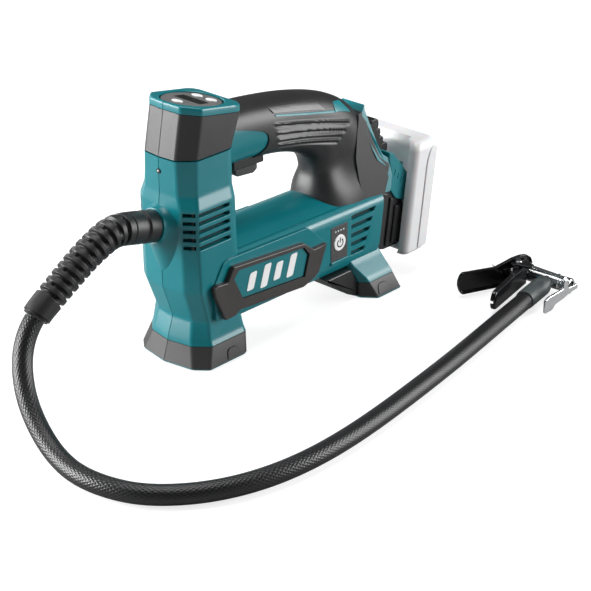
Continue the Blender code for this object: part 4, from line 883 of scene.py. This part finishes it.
RIM_IN = [(181.6, 128.0), (180.6, 118.5), (184.0, 104.3), (187.9, 94.8), (196.2, 88.6), (198.5, 79.7),
          (194.8, 69.2)]
RIM_OUT = [(186.0, 131.5), (183.8, 128.6), (183.2, 119.2), (186.4, 105.6), (190.2, 97.2), (198.6, 90.6),
           (201.4, 80.0),
           (197.5, 67.5)]
shoulders = eased(RIM_IN + [(189.5, 64.5), (172, 64.5), (167, 84), (167, 100), (170, 118), (175, 128)], 1.5)
spread_sides(block("grip_shoulders", finer(np.column_stack([shoulders, shoulders[:, 0] * 0]))[:, :2], -1, 1,
                   0.05,
                   soft_grey), shoulder_half)
flange = eased(RIM_OUT + [(x - 3.0, z - 1.0) for x, z in RIM_IN[::-1]], 1.0)
spread_sides(block("rear_flange", flange, -1, 1, 0.03, teal_plastic),
             lambda x, z: shoulder_half(x, z) + 0.1)
KEY_BLOCK = [(195.5, 97.0), (200.3, 95.4), (217.0, 75.7), (213.4, 56.0), (204, 60), (196.8, 69.5),
             (199.6, 79.4),
             (196.3, 89.4)]
block("key_block", eased(KEY_BLOCK, 1.2), -24.9, 24.9, 0.7, teal_plastic)
for side, word in SIDES:
    for n, (x, z) in enumerate(((202.8, 82.5), (206.2, 79.0), (209.6, 75.5))):
        mark = eased([(x - 1.0, z - 4.4), (x + 0.6, z - 4.4), (x + 1.6, z), (x, z)], 0.4)
        block(f"key_mark_{n + 1}_{word}", mark, *span(side, 24.6, 25.25), 0.15, teal_plastic)


def raked(x, z):
    return x + RAKE * (z - 15.0)


RAIL = [(194.2, 86.0), (188.9, 67.3), (183.6, 31.6), (186.0, 26.5), (193.2, 23.0), (210.3, 22.6),
        (213.4, 27.0),
        (215.6, 51.3), (213.2, 55.5), (203.0, 66.0), (203.0, 84.0)]
block("rail_block", eased(RAIL, 2.0), -23.2, 23.2, 0.8, black_plastic, stands_for=("battery_rail",))
for n, (x_low, x_high, tall) in enumerate(((184.6, 189.8, 67.0), (193.0, 196.0, 62.0), (199.5, 209.0, 54.0))):
    strip = [(raked(x_low, 24), 26), (raked(x_high, 24), 24.4), (raked(x_high, tall), tall - 1),
             (raked(x_low, tall), tall)]
    block(f"rail_rib_{n + 1}", eased(strip, 1.4), -24.6, 24.6, 0.9, black_plastic)
bumps = [(193.0, 115.0, 4.4), (196.4, 108.4, 3.4), (199.6, 102.0, 3.2), (203.6, 95.4, 4.0)]
for n, (x, z, radius) in enumerate(bumps):
    pad = rect((x - radius, x + radius), (z - radius, z + radius), radius * 0.9, 8)
    nodes_for = ("terminal_block",) if n == 0 else ()
    block(f"terminal_{n + 1}", pad, -13.5, 13.5, 0.8, black_plastic, stands_for=nodes_for)
# A near-black bed behind the terminals: painted shade in the gaps between them.
block("terminal_bed_shade", eased([(184, 118), (191, 117), (199.5, 101), (200, 94), (190, 94), (184, 104)], 1.0),
      -14.5, 14.5,
      0.6, black_and_painted_shade)

# ---- The battery: a pale milky case with rounded corners, a raised panel on each side and a grey latch.
milky = shades("milky_case", (0.72, 0.72, 0.73), 0.3, mottle=0.02, grain=0.04)
milky.node_tree.nodes["Principled BSDF"].inputs["Subsurface Weight"].default_value = 0.25
milky.node_tree.nodes["Principled BSDF"].inputs["Subsurface Scale"].default_value = 0.004
pack_line = eased([(212.0, -25.8), (206.0, -25.8), (206.0, -30.6), (209.0, -33), (231.5, -33), (231.5, 33),
                   (209.0, 33), (206.0, 30.6), (206.0, 25.8), (212.0, 25.8)],
                  [1, 0.6, 2, 3, 8, 8, 3, 2, 0.6, 1], 6)
middle = np.array([219.0, 0.0])
pack_rows = []
for z, draw in ((15.0, 4.5), (15.7, 2.4), (17.2, 0.8), (19.5, 0.0), (60, 0.0), (92.0, 0.0), (95.8, 1.0),
                (98.0, 2.8),
                (99.0, 5.6)):
    flat = pack_line + np.sign(middle - pack_line) * np.minimum(draw, np.abs(middle - pack_line) * 0.4)
    pack_rows.append(np.column_stack([raked(flat[:, 0], z), flat[:, 1], np.full(len(flat), z)]))
skin("pack_case", pack_rows, milky, "battery", stands_for=("battery_case", "battery_base"))
for side, word in SIDES:
    panel = eased([(219.0, 19), (228.5, 19), (228.5, 93), (222.0, 93), (219.0, 84)], [2, 2, 4, 5, 6], 8)
    panel[:, 0] = raked(panel[:, 0], panel[:, 1])
    block(f"pack_panel_{word}", panel, *span(side, 30, 33.8), 0.6, milky, "battery")
latch = eased([(226.5, -9), (231.7, -9), (231.7, 9), (226.5, 9)], 0.8)
latch_rows = [np.column_stack([raked(latch[:, 0], z), latch[:, 1], np.full(len(latch), z)]) for z in (83, 85,
                                                                                                      90, 92)]
skin("pack_latch", latch_rows, grey_band, "latch", stands_for=("battery_latch",))

# ---- The ferrule and clip-on chuck: a slate crimp sleeve, a chromed valve barrel across it, two black
# channel levers on a steel pin with a coil spring, and a chromed jaw plate that grips the valve.
slate = shades("slate_sleeve", (0.055, 0.068, 0.07), 0.45, mottle=0.08, grain=0.1)
chrome = shades("chrome_plate", (0.78, 0.79, 0.8), 0.13, metal=1.0, mottle=0.05, grain=0.03)
steel = shades("bare_steel", (0.5, 0.5, 0.51), 0.3, metal=1.0, mottle=0.08, grain=0.08)
gloss_black = shades("gloss_black", (0.006, 0.006, 0.007), 0.16, mottle=0.1, grain=0.04,
                     grain_scale=500)
hose_end = hose_line[-1]
tail = hose_line[-1] - hose_line[-8]
hose_way = np.array([tail[0], tail[1], 0.0]) / np.linalg.norm(tail[:2])
ferrule_at = hose_end + hose_way * 0.3
ferrule_at[2] = 7.2
sleeve_profile = eased([(0, 5.5), (0, 6.9), (3.0, 7.0), (26.5, 7.0), (30, 6.2), (30, 4)], 1.0, closed=False)
turned("crimp_sleeve", sleeve_profile, ferrule_at, hose_way, slate, stands_for=("hose_ferrule",))
stem_at = ferrule_at + hose_way * 30.3
barrel_mid = stem_at + hose_way * 9.0
nose_way = np.array([0.085, -1.0, 0.0])
tube_profile = eased([(-19.5, 3.2), (-19.5, 4.6), (-18.7, 5.1), (9.0, 5.1), (9.4, 4.6), (11.4, 4.6),
                      (11.8, 5.8),
                      (17.2, 5.8), (18.0, 5.0), (18.0, 3.9), (13.0, 3.6), (13.0, 1.0)], 0.35, closed=False)
turned("valve_barrel", tube_profile, barrel_mid, nose_way, chrome, 72, stands_for=("chuck_body",))
turned("valve_stem", [(-2, 4.4), (7, 4.4)], stem_at, hose_way, chrome, 48)
turned("valve_seal", eased([(12.5, 3.4), (16.6, 3.4), (16.9, 2.6), (16.9, 0.6)], 0.3, closed=False),
       barrel_mid,
       nose_way, black_rubber, 40)
# A near-black disc on the valve barrel makes the bleed hole: painted shade in the hole.
turned("bleed_hole_shade", [(3.5, 1.6), (5.22, 1.6)], barrel_mid + nose_way * 3.5, (0, 0, 1), black_and_painted_shade, 24)
turned("bleed_pip", eased([(3.5, 1.4), (6.3, 1.4), (6.9, 0.9), (7.0, 0.1)], 0.3, closed=False),
       barrel_mid + nose_way * 8.0, (0, 0, 1), chrome, 24)
PIN_AT = barrel_mid + (-11.5, 19.1, 0)


SHEET = 1.1
LIP = 3.4
CUTS = 60


def channel(name, plan, low, high, body, stands_for, hollow):
    """A pressed blade: a U section, open on one side, carried along a plan line between a lower and an upper
    edge."""
    plan = np.array(plan, float)
    run = np.concatenate([[0], np.cumsum(np.linalg.norm(np.diff(plan, axis=0), axis=1))])
    at = np.linspace(0, run[-1], CUTS)
    line = np.stack([np.interp(at, run, plan[:, i]) for i in range(2)], 1)
    line = (np.roll(line, 1, 0) + 2 * line + np.roll(line, -1, 0)) / 4
    line[0], line[-1] = plan[0], plan[-1]
    low, high = np.interp(at, run, low), np.interp(at, run, high)
    tip = np.clip(at / 4.0, 0, 1)
    pinch = 1 - np.sqrt(np.clip(1 - 0.9 * (1 - tip)**2, 0.02, 1))
    centre, half = (low + high) / 2, (high - low) / 2 * (1 - pinch)
    way = np.gradient(line, axis=0)
    way /= np.linalg.norm(way, axis=1)[:, None]
    normal = np.stack([-way[:, 1], way[:, 0]], 1) * hollow
    rows = []
    for i, h in enumerate(half):
        section = eased([(0, -h), (LIP, -h), (LIP, -h + SHEET), (SHEET, -h + SHEET), (SHEET, h - SHEET),
                         (LIP, h - SHEET), (LIP, h), (0, h)], [2.2, 0.3, 0.3, 1.2, 1.2, 0.3, 0.3, 2.2], 3)
        rows.append(np.column_stack([line[i] + normal[i] * section[:, :1], centre[i] + section[:, 1]]))
    skin(name, rows, gloss_black, body, stands_for=(stands_for,), flat=False)


def at_pin(*points):
    return [(PIN_AT[0] + x, PIN_AT[1] + y) for x, y in points]


channel("handle_blade", at_pin((-42.5, 21.4), (-36, 18.8), (-15, 10.8), (-9, 8.4), (-2, 5.6), (4, 3.8),
                               (10, 3.4),
                               (15.5, 3.4), (17.5, 3.4)), [2.0, 2.0, 1.5, 1.5, 1.5, 1.5, 2.5, 6.0, 10.0],
        [19.0, 18.6, 17.6, 19.5, 22.0, 22.6, 21.4, 17.5, 13.0], "machine", "chuck_handle", -1)
channel("lever_blade", at_pin((-47.5, -15.6), (-42, -14.2), (4.5, -4.6)), [2.5, 2.0, 1.5], [15.5, 16.0, 17.6],
        "chuck_lever", "chuck_lever", 1)
pin_place = (PIN_AT[0], PIN_AT[1], 0.9)
turned("pivot_pin", eased([(0, 0.5), (0, 2.5), (0.9, 2.5), (0.9, 1.5), (18.6, 1.5), (18.6, 2.7), (19.4, 2.3),
                           (19.6, 0.5)],
                          0.3, closed=False), pin_place, (0, 0, 1), steel, 32, stands_for=("chuck_pin",))
wind = np.linspace(math.pi, math.pi + 4.5 * 2 * math.pi, 240)
coil_line = np.stack([PIN_AT[0] - 1.5 + 4.6 * np.cos(wind), PIN_AT[1] + 4.6 * np.sin(wind),
                      8.2 + 5.2 * (wind - wind[0]) / (wind[-1] - wind[0])], 1)
first_arm = np.array([(-17.5, -8.8, 18.6), (-17.2, -7.0, 18.2), (-16.8, -6.0, 12.0), (-14.0, -4.8, 8.4),
                      (-6.6, -2.6, 8.2)])
last_arm = np.array([(3.5, 2.4, 13.4), (-6.0, 6.6, 13.6), (-14.5, 8.2, 15.5), (-15.4, 9.0, 18.4),
                     (-15.8, 11.0, 18.8)])
coil = np.concatenate([first_arm + (PIN_AT[0], PIN_AT[1], 0), coil_line,
                       last_arm + (PIN_AT[0], PIN_AT[1], 0)])
coil = smooth_path(coil[::3], 700)[0]
skin("lever_spring", round_rows(coil, np.full(len(coil), 0.62), 12), steel, stands_for=("chuck_spring",),
     flat=False)
jaw_far = barrel_mid[1] - 20.9
ear_turn = np.radians(np.linspace(-50, 230, 24))
ear = np.stack([7.0 * np.cos(ear_turn), 4.6 * np.sin(ear_turn)], 1)
jaw_plan = np.concatenate([ear, eased([(-4.2, -7.0), (-2.4, -12.5), (2.4, -12.5), (4.2, -7.0)], 1.5,
                                      closed=False)])
jaw_plan = jaw_plan + PIN_AT[:2]
arm_plan = rect((-1.7, 1.9), (jaw_far - PIN_AT[1], -12.8), 0.5) + PIN_AT[:2]
block("lever_ear", jaw_plan, 18.1, 19.7, 0.4, gloss_black, "chuck_lever", plane="xy")
block("jaw_strap", arm_plan, 18.2, 19.6, 0.4, chrome, "chuck_lever", plane="xy")
step_line = eased([(-24, 0.6), (-15, 0.6), (-12, 3.6), (-2, 4.6), (3, 6.2), (14.5, 6.8), (14.5, 10.6),
                   (2.4, 11.2),
                   (2.2, 18.6), (-2.0, 18.6), (-3.0, 12.4), (-20, 11.9), (-24, 10.6)], 1.2) + (PIN_AT[0], 0)
block("jaw_plate", step_line, jaw_far - 1.6, jaw_far + 0.4, 0.5, chrome, "chuck_lever",
      stands_for=("chuck_jaw",))

# ---- The hidden works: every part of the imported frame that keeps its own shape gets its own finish.
copper = shades("copper_windings", (0.45, 0.2, 0.07), 0.35, metal=0.8, mottle=0.2, grain=0.3,
                grain_scale=500)
board = shades("green_board", (0.02, 0.12, 0.05), 0.5, mottle=0.1, grain=0.1)
cast = shades("cast_metal", (0.55, 0.55, 0.57), 0.4, metal=1.0, mottle=0.1, grain=0.2)
BY_SLOT = {
    "teal_plastic": teal_plastic, "grey_grip": soft_grey, "grey_plastic": grey_band,
           "black_plastic": black_plastic,
    "white_plastic": white_key, "pack_plastic": milky, "clear_lens": clear_lens, "black_rubber": black_rubber,
    "hose_cover": hose_cover, "steel": steel, "cast_metal": cast, "chrome": chrome, "copper": copper,
           "board": board,
    "black_metal": gloss_black,
}
for row in frame["record"]["subparts"]:
    node = frame["nodes"][row["node"]]
    node.data.materials.clear()
    node.data.materials.append(BY_SLOT[row["material_slot"]])
